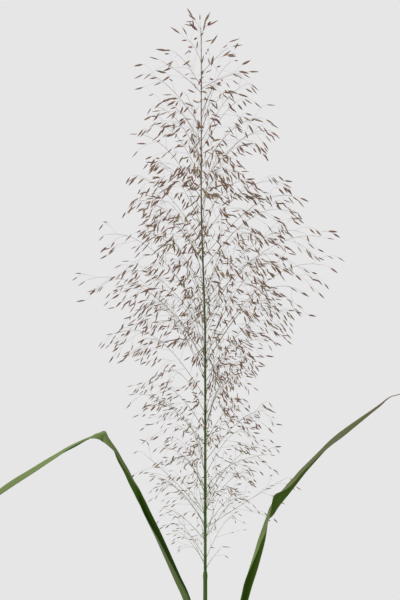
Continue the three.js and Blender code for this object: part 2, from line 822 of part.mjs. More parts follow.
// A spikelet on the side of a twig, drawn out at its foot into its own short stalk.
function sideSpikeletSolid(root, direction, length) {
  const geometry = new THREE.SphereGeometry(1, 3, 2);
  const position = geometry.getAttribute("position");
  const widest = root.clone().addScaledVector(direction, length * SIDE_STALK);
  const corners = roundRing(widest, direction, SPIKELET_RADIUS, 3);
  const point = widest.clone().addScaledVector(direction, length * SIDE_POINT);
  for (let i = 0; i < position.count; i++) {
    const y = position.getY(i);
    const column = Math.round((Math.atan2(position.getZ(i), -position.getX(i)) * 3) / (2 * Math.PI));
    const place = y > 0.5 ? point : y < -0.5 ? root : corners[(column + 3) % 3];
    position.setXYZ(i, place.x, place.y, place.z);
  }
  return { solid: solidOf(geometry), point };
}

function branchPlace(branch) {
  const angle = branch.azimuth * DEGREE;
  const clear = GAP + SPRAY_ROOT_RADIUS * Math.abs(Math.sin(branch.startAngle * DEGREE)) * 0.8;
  const distance = branch.height > STEM_TOP ? 0 : stemRadius(branch.height) + clear;
  const x = stemX(branch.height) + distance * Math.cos(angle);
  return new THREE.Vector3(x, distance * Math.sin(angle), branch.height);
}

function placeInWorld(branch, point) {
  return point.clone().applyAxisAngle(UP, branch.azimuth * DEGREE).add(branchPlace(branch));
}

function isBranchRodFree(branch, from, to, radius) {
  return isFree(branch.name, placeInWorld(branch, from), placeInWorld(branch, to), radius);
}

function takeBranchRod(branch, from, to, radius) {
  take(branch.name, placeInWorld(branch, from), placeInWorld(branch, to), radius);
}

function branchRings(branch) {
  const level = new THREE.Vector3(0, 1, 0);
  const rings = [];
  for (let i = 0; i <= SPRAY_STEPS; i++) {
    const share = i / SPRAY_STEPS;
    const radius = mix(SPRAY_ROOT_RADIUS, SPRAY_END_RADIUS, share);
    const along = archDirection(branch, share);
    rings.push(roundRing(archPoint(branch, share), along, radius, 3, level));
  }
  const end = archPoint(branch, 1);
  const length = spikeletLength(branch, branch.number + 700);
  return [...rings, ...endRings(end, archDirection(branch, 1), length, level).slice(1)];
}

function takeBranch(branch) {
  for (let i = 0; i < SPRAY_STEPS; i++) {
    const from = archPoint(branch, i / SPRAY_STEPS);
    const to = archPoint(branch, (i + 1) / SPRAY_STEPS);
    takeBranchRod(branch, from, to, SPRAY_ROOT_RADIUS);
  }
  const end = archPoint(branch, 1);
  const length = spikeletLength(branch, branch.number + 700);
  const point = end.clone().addScaledVector(archDirection(branch, 1), length);
  takeBranchRod(branch, end, point, SPIKELET_RADIUS);
}

// A twig is turned round its branch until it is clear of every other branch, or left out.
function twigSolids(branch, twig) {
  const root = branchAxisPoint(branch, twig.start);
  const sag = sagOf(branch);
  for (let attempt = 0; attempt < TWIG_TURNS; attempt++) {
    const direction = twigDirection(branch, twig, twig.turn + attempt * TWIG_TURN);
    const end = twigPoint(root, direction, twig.length, sag, 1);
    const onward = direction.clone().addScaledVector(UP, -2 * sag).normalize();
    const point = end.clone().addScaledVector(onward, twig.spikelet);
    const free =
      isBranchRodFree(branch, root, end, TWIG_NECK_RADIUS) &&
      isBranchRodFree(branch, end, point, SPIKELET_RADIUS);
    if (!free) continue;
    takeBranchRod(branch, root, end, TWIG_NECK_RADIUS);
    takeBranchRod(branch, end, point, SPIKELET_RADIUS);
    const guide = squareTo(direction);
    const first = roundRing(root, direction, TWIG_ROOT_RADIUS, 3, guide);
    const solids = [solidOf(loft([first, ...endRings(end, onward, twig.spikelet, guide)]))];
    const side = sideSpikelet(branch, twig, root, end, direction);
    return side ? [...solids, side] : solids;
  }
  return [];
}

function sideSpikelet(branch, twig, root, end, direction) {
  if (twig.seed % SIDE_SPIKELET_EVERY) return null;
  const foot = root.clone().lerp(end, twig.sidePlace);
  const across = squareTo(direction);
  const turned = across.applyAxisAngle(direction, twig.turn * 2 * DEGREE);
  const outward = direction.clone().multiplyScalar(0.8).addScaledVector(turned, 0.6);
  outward.addScaledVector(UP, -sagOf(branch)).normalize();
  const { solid, point } = sideSpikeletSolid(foot, outward, twig.spikelet);
  if (!isBranchRodFree(branch, foot, point, SPIKELET_RADIUS)) return null;
  takeBranchRod(branch, foot, point, SPIKELET_RADIUS);
  return solid;
}

function sprayGeometry(branch) {
  const solids = [solidOf(loft(branchRings(branch)))];
  for (const twig of twigPlans(branch)) {
    solids.push(...twigSolids(branch, twig));
  }
  return geometryOf(wasm.Manifold.union(solids));
}

function material(colour, roughness) {
  return new THREE.MeshStandardMaterial({ color: colour, roughness, metalness: 0 });
}

function mesh(name, geometry, colour, roughness) {
  const made = new THREE.Mesh(geometry, material(colour, roughness));
  made.name = name;
  return made;
}

const grass = new THREE.Group();

const shoots = [];
for (let i = 0; i < SHOOT_COUNT; i++) {
  shoots.push(shootPlan(i));
}

const soilHoles = [{ x: 0, y: 0, radius: STEM_FOOT_RADIUS + 3 * GAP }];
for (const shoot of shoots) {
  soilHoles.push({ x: shoot.x, y: shoot.y, radius: SHOOT_RADIUS + 2 * GAP });
}

grass.add(mesh("pot", potGeometry(), 0xb4694a, 0.9));
grass.add(mesh("soil", soilGeometry(soilHoles), 0x3b2c22, 1));
grass.add(mesh("culm", stemGeometry(), 0x567a3e, 0.6));

for (const leaf of LEAVES) {
  grass.add(mesh(leaf.name, leafGeometry(leaf), leaf.colour, 0.55));
}

for (const shoot of shoots) {
  const made = mesh(shoot.name, shootGeometry(shoot), 0x64873f, 0.6);
  made.position.set(shoot.x, shoot.y, 0);
  grass.add(made);
}

const seedHead = new THREE.Group();
const branches = branchPlans();
takeStem();
LEAVES.forEach(takeLeaf);
branches.forEach(takeBranch);
for (const branch of branches) {
  const made = mesh(branch.name, sprayGeometry(branch), 0x8f776b, 0.8);
  made.position.copy(branchPlace(branch));
  made.rotation.z = branch.azimuth * DEGREE;
  seedHead.add(made);
}
grass.add(seedHead);

export default grass;
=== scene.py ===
import math
from types import SimpleNamespace

import bmesh
import bpy
from mathutils import Matrix, Vector, noise


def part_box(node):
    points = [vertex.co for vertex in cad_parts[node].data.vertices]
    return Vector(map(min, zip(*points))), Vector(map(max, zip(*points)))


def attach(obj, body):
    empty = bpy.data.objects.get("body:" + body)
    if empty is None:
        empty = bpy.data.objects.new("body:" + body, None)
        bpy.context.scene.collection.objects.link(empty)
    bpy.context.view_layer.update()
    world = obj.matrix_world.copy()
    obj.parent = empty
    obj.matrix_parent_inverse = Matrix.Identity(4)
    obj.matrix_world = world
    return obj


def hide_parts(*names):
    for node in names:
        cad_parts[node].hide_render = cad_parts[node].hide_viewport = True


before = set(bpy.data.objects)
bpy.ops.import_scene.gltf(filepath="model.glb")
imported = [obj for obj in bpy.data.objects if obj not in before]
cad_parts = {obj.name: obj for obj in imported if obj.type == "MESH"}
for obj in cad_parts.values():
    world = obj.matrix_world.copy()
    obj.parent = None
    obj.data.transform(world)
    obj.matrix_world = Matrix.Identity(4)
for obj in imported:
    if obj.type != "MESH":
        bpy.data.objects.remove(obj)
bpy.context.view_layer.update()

# Lovegrass in a clay pot. Shapes are drawn in millimetres, with +Z up and the origin at the
# centre of the pot's base, and brought to metres when a piece is finished.
MM = 0.001
UP = Vector((0, 0, 1))

pot_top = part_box("pot")[1] / MM
stem_low, stem_high = (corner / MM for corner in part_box("culm"))

# Clay pot
POT_HEIGHT = pot_top.z
POT_RIM_RADIUS = pot_top.x
POT_BASE_RADIUS = 55
POT_SHOULDER_RADIUS = 73
POT_COLLAR_HEIGHT = 31
POT_COLLAR_STEP = 5
POT_SHOULDER = POT_HEIGHT - POT_COLLAR_HEIGHT
POT_WALL = 7
POT_FLOOR = 10
POT_ROUNDING = 1.6
POT_TURNS = 120
DRAIN_COUNT = 3
DRAIN_RADIUS = 6
DRAIN_RING = 27

# Potting soil
SOIL_TOP = 138
SOIL_BUMP = 1.6
SOIL_TURNS = 110
SOIL_RINGS = 46
CRUMB_COUNT = 900
CRUMB_MARGIN = 3
CRUMB_TILT = 0.7
CRUMB_ROUGHNESS = 0.18

# Peat, bark and pale grit, in the order of the soil's materials. The first value is the share
# of the crumbs up to and with this kind. Then come its smallest and largest size, and how long,
# wide and high it is for that size.
CRUMB_KINDS = [
    (0.62, 0.5, 1.5, Vector((1, 0.8, 0.7))),
    (0.86, 0.9, 2.6, Vector((1.6, 0.7, 0.35))),
    (1, 0.4, 1.1, Vector((1, 0.9, 0.8))),
]

# Main stem
STEM_FOOT = stem_low.z
STEM_TOP = stem_high.z
STEM_FOOT_RADIUS = 2.2
STEM_NECK_RADIUS = 1.6
STEM_HEAD_RADIUS = 1.2
STEM_TIP_RADIUS = 0.28
STEM_TURNS = 16
STEM_STEP = 12
JOINT_HEIGHTS = [158, 205, 268, 349]
JOINT_SWELL = 0.5
JOINT_HALF = 3
HEAD_JOINT = 484
HEAD_JOINT_SWELL = 0.25
BRANCH_SWELL = 0.14
BRANCH_SWELL_HALF = 1.4
LEAN = -3.2
LEAN_START = 665
LEAN_END = 790

# Leaves. A wrap is how far a sheath reaches round the stem to each side, in degrees.
GAP = 0.3
BLADE_THICKNESS = 0.34
BLADE_COLUMNS = 14
BLADE_EASE = 1.6
MIDRIB_SOFTNESS = 0.006
SHEATH_WRAP = 196
SHEATH_OVERLAP = 0.7
SHEATH_PLAY = 0.1
SHEATH_ROWS = 24
COLLAR_WRAP = 62
COLLAR_DEPTH = 2
COLLAR_HEIGHT = 14

# Young shoots
SHOOT_COUNT = 6
SHOOT_RADIUS = 2.3
SHOOT_NECK_SHARE = 0.6
SHOOT_TURNS = 14
SHOOT_BLADES = 4
SHOOT_BLADE_STEP = 9
SHOOT_BLADE_ROWS = 48
SHOOT_BLADE_COLUMNS = 8
SHOOT_FOLD_ROOT = 48
SHOOT_FOLD_TIP = 22
ARCH_SLICES = 12

# Seed head
HEAD_BASE = 488
HEAD_TOP = 909
SPRAY_COUNT = 34
SPRAY_LOWEST = 506
SPRAY_CROWDING = 1.1
GOLDEN_TURN = 137.5
DENSE_LOW = 570
DENSE_HIGH = 645
SPARSE_ABOVE = 850

# Branches of the head. What bears twigs or spikelets does so between its bare foot and its end,
# both as shares of its length.
SPRAY_BEND = 3
SPRAY_STEPS = 14
BRANCH_ROOT_RADIUS = 0.24
BRANCH_TIP_RADIUS = 0.09
BRANCH_SET_IN = 0.1
BRANCH_BARE = 0.2
BEARING_END = 0.97

# Twigs. Their lengths at the root and at the tip of a branch are shares of the branch's length.
TWIGS_AT_LEAST = 2.5
TWIG_SPACING = 18
TWIG_SHORTEST = 3
TWIG_SHARE_ROOT = 0.46
TWIG_SHARE_TIP = 0.1
TWIG_LEAN = 46
TWIG_SAG = 0.34
TWIG_RADIUS = 0.065
TWIG_STEPS = 5
TWIG_BARE = 0.25
FORKING_LENGTH = 22
FORKING_UNDER = 0.6

# Spikelets and their stalks. The measures of a scale are shares of the spikelet's length.
STALK_RADIUS = 0.045
STALK_SHORTEST = 2
STALK_LONGEST = 6.5
STALK_KNEE = 0.55
SPIKELET_KINDS = 6
SPIKELET_SHORTEST = 4.2
SPIKELET_SPAN = 5.5
SPIKELET_SCALES = 7
SCALE_LENGTH = 0.4
SCALE_HALF_WIDTH = 0.07
SCALE_HALF_DEPTH = 0.056
SCALE_OFFSET = 0.03
SCALE_LEAN = 0.2

# How the head changes on its way up: height over the pot's base, length of the branches that
# leave the stem there and distance between their spikelets.
HEAD_PROFILE = [
    Vector((488, 48, 20)),
    Vector((560, 58, 6)),
    Vector((590, 70, 7.5)),
    Vector((640, 98, 7.2)),
    Vector((665, 108, 20)),
    Vector((720, 96, 14)),
    Vector((760, 86, 5)),
    Vector((780, 80, 9)),
    Vector((800, 74, 24)),
    Vector((840, 60, 34)),
    Vector((870, 42.5, 36)),
    Vector((900, 25, 14)),
    Vector((934, 10, 12)),
]

# Camera: where the middle of its view lies, how much it takes in and from how far.
VIEW_MIDDLE = Vector((-4.2, 0, 705))
VIEW_HEIGHT = 480
VIEW_DISTANCE = 2400
SENSOR = 36

# Studio. Its lengths are in metres.
FLOOR_RADIUS = 4
FLOOR_FADE_START = 0.5
FLOOR_FADE_END = 3.6
LIGHT_TARGET = Vector((0, 0, 0.6))
AIR_LIGHT = 0.55


def random(seed):
    """A repeatable number from 0 to 1 for each seed."""
    wave = math.sin(seed * 12.9898) * 43758.5453
    return wave - math.floor(wave)


def spread(seed):
    """A repeatable number from -1 to 1 for each seed."""
    return 2 * random(seed) - 1


def mix(a, b, share):
    return a + (b - a) * share


def clamp(value, low=0, high=1):
    return max(low, min(high, value))


def smooth_step(value, low, high):
    share = clamp((value - low) / (high - low))
    return share * share * (3 - 2 * share)


def nearest(value):
    """The nearest whole number, with halves going up."""
    return math.floor(value + 0.5)


# Shader nodes


def linear(channel):
    """A colour channel from 0 to 255 as the linear value that a shader takes."""
    share = channel / 255
    return share / 12.92 if share <= 0.04045 else ((share + 0.055) / 1.055) ** 2.4


def colour(red, green, blue):
    return (linear(red), linear(green), linear(blue), 1)


def socket(sockets, name):
    return next(s for s in sockets if s.enabled and s.name == name)


def feed(tree, target, value):
    """Links an output to the socket, or sets the socket's own value."""
    if isinstance(value, bpy.types.NodeSocket):
        tree.links.new(value, target)
    else:
        target.default_value = value


def add_node(tree, kind, settings=None, **inputs):
    """A new shader node. An input's name has _ where the socket's name has a space."""
    node = tree.nodes.new("ShaderNode" + kind)
    for name, value in (settings or {}).items():
        setattr(node, name, value)
    for name, value in inputs.items():
        feed(tree, socket(node.inputs, name.replace("_", " ")), value)
    return node


def maths(tree, operation, *values):
    node = tree.nodes.new("ShaderNodeMath")
    node.operation = operation
    for target, value in zip(node.inputs, values):
        feed(tree, target, value)
    return node.outputs[0]


def mixed(tree, share, first, second, how="MIX"):
    """Two colours mixed, the second by the share."""
    settings = {"data_type": "RGBA", "blend_type": how}
    node = add_node(tree, "Mix", settings, Factor=share, A=first, B=second)
    return socket(node.outputs, "Result")


def ramp(tree, value, *stops):
    """A colour from a value, through stops of (value, colour)."""
    node = tree.nodes.new("ShaderNodeValToRGB")
    feed(tree, node.inputs[0], value)
    elements = node.color_ramp.elements
    elements[0].position, elements[0].color = stops[0]
    elements[1].position, elements[1].color = stops[-1]
    for place, tone in stops[1:-1]:
        elements.new(place).color = tone
    return node.outputs[0]


def between(tree, value, low, high, to_low=0.0, to_high=1.0):
    """The value's way from low to high, eased at both ends, as a number from to_low to to_high."""
    node = add_node(
        tree,
        "MapRange",
        {"interpolation_type": "SMOOTHSTEP"},
        Value=value,
        From_Min=low,
        From_Max=high,
        To_Min=to_low,
        To_Max=to_high,
    )
    return node.outputs[0]


def clouds(tree, place, scale, detail=3.0, roughness=0.5):
    """Soft noise from 0 to 1 over the given coordinates."""
    node = add_node(
        tree, "TexNoise", Vector=place, Scale=scale, Detail=detail, Roughness=roughness
    )
    return node.outputs[0]


def stretched(tree, place, scale):
    return add_node(tree, "Mapping", Vector=place, Scale=scale).outputs[0]


def object_place(tree):
    return socket(tree.nodes.new("ShaderNodeTexCoord").outputs, "Object")


def surface_place(tree, name):
    """The across and along coordinates of the piece's own map."""
    node = add_node(tree, "UVMap", {"uv_map": name})
    parts = add_node(tree, "SeparateXYZ", Vector=node.outputs[0])
    return parts.outputs[0], parts.outputs[1]


def height_of(tree, place):
    """How high a point lies over the pot's base, in millimetres."""
    parts = add_node(tree, "SeparateXYZ", Vector=place)
    return maths(tree, "DIVIDE", parts.outputs[2], MM)


def new_group(name, inputs, outputs):
    """A node group with inputs given as (name, socket kind, value) and outputs as (name, kind)."""
    tree = bpy.data.node_groups.new(name, "ShaderNodeTree")
    for label, kind, value in inputs:
        made = tree.interface.new_socket(name=label, in_out="INPUT", socket_type=kind)
        if value is not None:
            made.default_value = value
    for label, kind in outputs:
        tree.interface.new_socket(name=label, in_out="OUTPUT", socket_type=kind)
    given = tree.nodes.new("NodeGroupInput").outputs
    return tree, given, tree.nodes.new("NodeGroupOutput").inputs


def place_group(tree, group, **inputs):
    return add_node(tree, "Group", {"node_tree": group}, **inputs).outputs


def mottle_group():
    """Uneven tone: broad patches with fine grain over them."""
    tree, given, result = new_group(
        "mottle",
        [
            ("Place", "NodeSocketVector", None),
            ("Patches", "NodeSocketFloat", 40.0),
            ("Grain", "NodeSocketFloat", 400.0),
        ],
        [("Tone", "NodeSocketFloat"), ("Relief", "NodeSocketFloat")],
    )
    broad = clouds(tree, given["Place"], given["Patches"], detail=4.0, roughness=0.6)
    fine = clouds(tree, given["Place"], given["Grain"], detail=2.0, roughness=0.6)
    patches = maths(tree, "MULTIPLY", broad, 0.7)
    grain = maths(tree, "MULTIPLY", fine, 0.3)
    feed(tree, result["Tone"], between(tree, maths(tree, "ADD", patches, grain), 0.32, 0.68))
    feed(tree, result["Relief"], fine)
    return tree


def vein_group():
    """Parallel veins across a leaf, with a midrib at the middle."""
    tree, given, result = new_group(
        "veins",
        [("Across", "NodeSocketFloat", 0.5), ("Count", "NodeSocketFloat", 22.0)],
        [("Vein", "NodeSocketFloat"), ("Midrib", "NodeSocketFloat")],
    )
    turns = maths(tree, "MULTIPLY", given["Across"], given["Count"])
    wave = maths(tree, "SINE", maths(tree, "MULTIPLY", turns, math.tau))
    feed(tree, result["Vein"], maths(tree, "MULTIPLY_ADD", wave, 0.5, 0.5))
    off_middle = maths(tree, "ABSOLUTE", maths(tree, "SUBTRACT", given["Across"], 0.5))
    feed(tree, result["Midrib"], between(tree, off_middle, 0.015, 0.06, to_low=1.0, to_high=0.0))
    return tree


def drying_group():
    """Where a leaf has dried: beyond a ragged line near its tip."""
    raggedness = 0.16
    soft_end = 0.12
    tree, given, result = new_group(
        "drying",
        [
            ("Place", "NodeSocketVector", None),
            ("Along", "NodeSocketFloat", 0.0),
            ("Start", "NodeSocketFloat", 0.9),
        ],
        [("Dry", "NodeSocketFloat")],
    )
    drift = clouds(tree, given["Place"], 240.0, detail=4.0, roughness=0.6)
    shift = maths(tree, "SUBTRACT", drift, 0.5)
    ragged = maths(tree, "MULTIPLY_ADD", shift, raggedness, given["Along"])
    end = maths(tree, "ADD", given["Start"], soft_end)
    feed(tree, result["Dry"], between(tree, ragged, given["Start"], end))
    return tree


MOTTLE = mottle_group()
VEINS = vein_group()
DRYING = drying_group()


# Materials


def new_material(name, roughness, specular):
    """A material with its tree, its Principled shader and the Object coordinates."""
    material = bpy.data.materials.new(name)
    material.use_nodes = True
    tree = material.node_tree
    shader = tree.nodes["Principled BSDF"]
    shader.inputs["Roughness"].default_value = roughness
    shader.inputs["Specular IOR Level"].default_value = specular
    return material, tree, shader.inputs, object_place(tree)


def add_bump(tree, surface, height, depth):
    """Relief of the given depth in millimetres."""
    bump = add_node(tree, "Bump", Height=height, Distance=depth * MM, Strength=1.0)
    feed(tree, surface["Normal"], bump.outputs[0])


def clay_material():
    """Fired clay with a bloom of lime that is thickest low on the wall, a paler worn rim, and
    the fine rings that turning leaves."""
    worn_height = 3
    material, tree, surface, place = new_material("pot_clay", roughness=0.85, specular=0.3)
    mottle = place_group(tree, MOTTLE, Place=place, Patches=22.0, Grain=900.0)
    height = height_of(tree, place)
    fired = ramp(
        tree,
        mottle["Tone"],
        (0.0, colour(158, 92, 62)),
        (0.5, colour(178, 108, 76)),
        (1.0, colour(196, 128, 94)),
    )
    drift = clouds(tree, place, 34.0, detail=5.0, roughness=0.62)
    bloom = between(tree, drift, 0.52, 0.68)
    damp = maths(tree, "MULTIPLY_ADD", maths(tree, "SUBTRACT", drift, 0.5), 70.0, height)
    low_down = between(tree, damp, 20.0, 70.0, to_low=1.0, to_high=0.25)
    lime = maths(tree, "MULTIPLY", maths(tree, "MULTIPLY", bloom, low_down), 0.55)
    limed = mixed(tree, lime, fired, colour(214, 190, 170))
    rim = between(tree, height, POT_HEIGHT - worn_height, POT_HEIGHT)
    worn = mixed(tree, maths(tree, "MULTIPLY", rim, 0.35), limed, colour(212, 156, 124))
    feed(tree, surface["Base Color"], worn)
    rings = clouds(tree, stretched(tree, place, (30, 30, 900)), 1.0, detail=2.0)
    turned = maths(tree, "MULTIPLY", rings, 0.5)
    relief = maths(tree, "MULTIPLY_ADD", mottle["Relief"], 0.6, turned)
    add_bump(tree, surface, relief, depth=0.5)
    feed(tree, surface["Roughness"], between(tree, bloom, 0.0, 1.0, to_low=0.78, to_high=0.95))
    return material


def earth_material(name, roughness, specular, patches, grain, depth, tones):
    """Peat, bark or grit: mottled from the first of its tones to the last, with a grainy relief."""
    material, tree, surface, place = new_material(name, roughness, specular)
    mottle = place_group(tree, MOTTLE, Place=place, Patches=patches, Grain=grain)
    feed(tree, surface["Base Color"], ramp(tree, mottle["Tone"], *tones))
    add_bump(tree, surface, mottle["Relief"], depth)
    return material


def stem_material():
    """Green from the foot to the middle of the head, then thinning to a dry grey-brown tip, with
    streaks along it between a darker and a lighter tone."""
    material, tree, surface, place = new_material("culm", roughness=0.6, specular=0.12)
    fibres = clouds(tree, stretched(tree, place, (1400, 1400, 22)), 1.0, roughness=0.55)
    streak = between(tree, fibres, 0.3, 0.7)
    height = maths(tree, "DIVIDE", height_of(tree, place), STEM_TOP)
    light = ramp(
        tree,
        height,
        (0.15, colour(150, 150, 96)),
        (0.3, colour(104, 128, 62)),
        (0.52, colour(82, 112, 46)),
        (0.56, colour(78, 112, 44)),
        (0.8, colour(90, 108, 60)),
        (0.9, colour(132, 126, 104)),
        (1.0, colour(146, 126, 110)),
    )
    dark = ramp(
        tree,
        height,
        (0.15, colour(112, 112, 66)),
        (0.3, colour(62, 88, 32)),
        (0.52, colour(50, 76, 20)),
        (0.56, colour(42, 74, 16)),
        (0.8, colour(54, 76, 32)),
        (0.9, colour(98, 94, 74)),
        (1.0, colour(112, 92, 78)),
    )
    feed(tree, surface["Base Color"], mixed(tree, streak, dark, light))
    add_bump(tree, surface, streak, depth=0.12)
    return material


def leaf_material(name, deep, light, rib, rib_share, fading, shine):
    """One face of a leaf. Its map runs from -1 at the sheath's foot to 0 at the collar and 1 at
    the tip. The blade is deep green near the stem and lighter further out, and dry at the tip."""
    material, tree, surface, place = new_material(name, roughness=0.5, specular=shine)
    across, along = surface_place(tree, "leaf")
    veins = place_group(tree, VEINS, Across=across, Count=18.0)
    dry = place_group(tree, DRYING, Place=place, Along=along, Start=0.86)["Dry"]
    drawn = add_node(tree, "CombineXYZ", X=maths(tree, "MULTIPLY", across, 1.2), Y=along)
    tone = clouds(tree, drawn.outputs[0], 7.0, roughness=0.6)
    streaks = between(tree, tone, 0.25, 0.75, to_low=0.1, to_high=0.5)
    outer = between(tree, along, 0.1, 0.5, to_low=0.0, to_high=0.6)
    green = mixed(tree, maths(tree, "ADD", streaks, outer), deep, light)
    sheath = between(tree, along, -0.75, -0.05, to_low=0.75, to_high=0.0)
    sheathed = mixed(tree, sheath, green, colour(150, 152, 104))
    veined = mixed(tree, maths(tree, "MULTIPLY", veins["Vein"], 0.22), sheathed, rib)
    ribbed = mixed(tree, maths(tree, "MULTIPLY", veins["Midrib"], rib_share), veined, rib)
    fade = between(tree, along, 0.5, 0.8, to_low=0.0, to_high=fading)
    faded = mixed(tree, fade, ribbed, colour(88, 84, 58))
    feed(tree, surface["Base Color"], mixed(tree, dry, faded, colour(120, 102, 74)))
    feed(tree, surface["Roughness"], between(tree, dry, 0.0, 1.0, to_low=0.5, to_high=0.8))
    groove = maths(tree, "MULTIPLY", veins["Midrib"], 2.0)
    add_bump(tree, surface, maths(tree, "SUBTRACT", veins["Vein"], groove), depth=0.08)
    return material


def twig_material():
    """Olive low in the head and browner towards its top, with dull brown patches."""
    material, tree, surface, place = new_material("head_twig", roughness=0.6, specular=0.2)
    height = maths(tree, "DIVIDE", height_of(tree, place), STEM_TOP)
    tint = ramp(
        tree,
        height,
        (0.54, colour(112, 126, 64)),
        (0.68, colour(100, 110, 60)),
        (0.84, colour(110, 102, 70)),
        (1.0, colour(124, 98, 76)),
    )
    drift = clouds(tree, place, 60.0, detail=2.0)
    patches = between(tree, drift, 0.35, 0.7, to_low=0.0, to_high=0.5)
    feed(tree, surface["Base Color"], mixed(tree, patches, tint, colour(128, 110, 88)))
    return material


def spikelet_material():
    """Scales with pale feet and darker points. Each spikelet's tone lies between purple-brown
    and olive-tan, and there is more olive low in the head."""
    material, tree, surface, place = new_material("spikelet", roughness=0.65, specular=0.12)
    tone, along = surface_place(tree, "scale")
    height = maths(tree, "DIVIDE", height_of(tree, place), STEM_TOP)
    green = between(tree, height, 0.55, 0.7, to_low=0.55, to_high=0.0)
    olive = maths(tree, "ADD", between(tree, tone, 0.35, 0.9), green)
    points = mixed(tree, olive, colour(110, 80, 72), colour(122, 106, 78))
    feet = mixed(tree, olive, colour(158, 122, 108), colour(166, 148, 114))
    feed(tree, surface["Base Color"], mixed(tree, between(tree, along, 0.1, 0.8), feet, points))
    return material


CLAY = clay_material()
SOIL = earth_material(
    "potting_soil",
    roughness=0.95,
    specular=0.2,
    patches=90.0,
    grain=1400.0,
    depth=1.2,
    tones=[(0.0, colour(30, 22, 17)), (0.55, colour(58, 43, 33)), (1.0, colour(92, 72, 56))],
)
BARK = earth_material(
    "bark_chip",
    roughness=0.85,
    specular=0.3,
    patches=160.0,
    grain=1600.0,
    depth=0.5,
    tones=[(0.0, colour(60, 38, 26)), (1.0, colour(136, 98, 68))],
)
GRIT = earth_material(
    "pale_grit",
    roughness=0.8,
    specular=0.4,
    patches=300.0,
    grain=2600.0,
    depth=0.3,
    tones=[(0.0, colour(176, 170, 158)), (1.0, colour(226, 222, 212))],
)
STEM = stem_material()
LEAF_UPPER = leaf_material(
    "leaf_upper",
    deep=colour(18, 42, 0),
    light=colour(66, 98, 18),
    rib=colour(84, 110, 36),
    rib_share=0.3,
    fading=0.2,
    shine=0.12,
)
LEAF_UNDER = leaf_material(
    "leaf_under",
    deep=colour(48, 72, 18),
    light=colour(110, 130, 70),
    rib=colour(118, 134, 78),
    rib_share=0.5,
    fading=0.7,
    shine=0.25,
)
TWIG = twig_material()
SPIKELET = spikelet_material()


# Making pieces


def finish_piece(bm, name, materials, slot, *nodes):
    """Brings a drawn piece to metres, puts it in the scene under the root body and hides the CAD
    parts of the nodes.
    """
    bmesh.ops.scale(bm, vec=(MM, MM, MM), verts=bm.verts)
    for face in bm.faces:
        face.smooth = True
    mesh = bpy.data.meshes.new(name)
    bm.to_mesh(mesh)
    bm.free()
    for material in materials:
        mesh.materials.append(material)
    piece = bpy.data.objects.new(name, mesh)
    bpy.context.scene.collection.objects.link(piece)
    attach(piece, "root")
    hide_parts(*nodes)
    return piece


def lathe(bm, outline, turns):
    """Turns an outline of (radius, height) points round the axis."""
    verts = [bm.verts.new((radius, 0, height)) for radius, height in outline]
    edges = [bm.edges.new(pair) for pair in zip(verts, verts[1:])]
    bmesh.ops.spin(
        bm,
        geom=[*verts, *edges],
        cent=(0, 0, 0),
        axis=UP,
        angle=math.tau,
        steps=turns,
        use_merge=True,
    )
    bmesh.ops.remove_doubles(bm, verts=bm.verts, dist=1e-4)
    bmesh.ops.recalc_face_normals(bm, faces=bm.faces)


def round_edges(bm, sharpest, width):
    """Rounds every edge that turns by more than the given angle."""
    sharp = [e for e in bm.edges if e.is_manifold and e.calc_face_angle() > math.radians(sharpest)]
    bmesh.ops.bevel(
        bm,
        geom=sharp,
        offset=width,
        offset_type="OFFSET",
        segments=4,
        profile=0.5,
        affect="EDGES",
        material=-1,
    )


def add_rods(bm, rods):
    """Thin rods, each through its own list of (point, radius)."""
    curve = bpy.data.curves.new("rods", "CURVE")
    curve.dimensions = "3D"
    curve.bevel_depth = 1
    curve.bevel_resolution = 0
    curve.use_fill_caps = True
    for rod in rods:
        spline = curve.splines.new("POLY")
        spline.points.add(len(rod) - 1)
        for knot, (point, radius) in zip(spline.points, rod):
            knot.co = (*point, 1)
            knot.radius = radius
    drawn = bpy.data.objects.new("rods", curve)
    bpy.context.scene.collection.objects.link(drawn)
    mesh = bpy.data.meshes.new_from_object(
        drawn.evaluated_get(bpy.context.evaluated_depsgraph_get())
    )
    first = len(bm.verts)
    bm.from_mesh(mesh)
    bm.verts.ensure_lookup_table()
    bmesh.ops.remove_doubles(bm, verts=bm.verts[first:], dist=1e-4)
    bpy.data.objects.remove(drawn)
    bpy.data.curves.remove(curve)
    bpy.data.meshes.remove(mesh)


# Pot


def pot_inner_radius(height):
    """The radius of the pot's inside, which follows the outside at the wall's thickness."""
    if height < POT_SHOULDER:
        return mix(POT_BASE_RADIUS, POT_SHOULDER_RADIUS, height / POT_SHOULDER) - POT_WALL
    rise = (height - POT_SHOULDER) / POT_COLLAR_HEIGHT
    return mix(POT_SHOULDER_RADIUS, POT_RIM_RADIUS, rise) - POT_WALL


def cut_drains(pot):
    """Bores the drain holes through the pot's floor."""
    bm = bmesh.new()
    for i in range(DRAIN_COUNT):
        angle = math.tau * i / DRAIN_COUNT
        centre = Vector((DRAIN_RING * math.cos(angle), DRAIN_RING * math.sin(angle), 0))
        bmesh.ops.create_cone(
            bm,
            cap_ends=True,
            segments=32,
            radius1=DRAIN_RADIUS * MM,
            radius2=DRAIN_RADIUS * MM,
            depth=3 * POT_FLOOR * MM,
            matrix=Matrix.Translation(centre * MM),
        )
    mesh = bpy.data.meshes.new("drains")
    bm.to_mesh(mesh)
    bm.free()
    drains = bpy.data.objects.new("drains", mesh)
    bpy.context.scene.collection.objects.link(drains)
    cut = pot.modifiers.new("drains", "BOOLEAN")
    cut.operation = "DIFFERENCE"
    cut.solver = "EXACT"
    cut.object = drains
    drained = bpy.data.meshes.new_from_object(
        pot.evaluated_get(bpy.context.evaluated_depsgraph_get())
    )
    pot.modifiers.remove(cut)
    pot.data = drained
    bpy.data.objects.remove(drains)


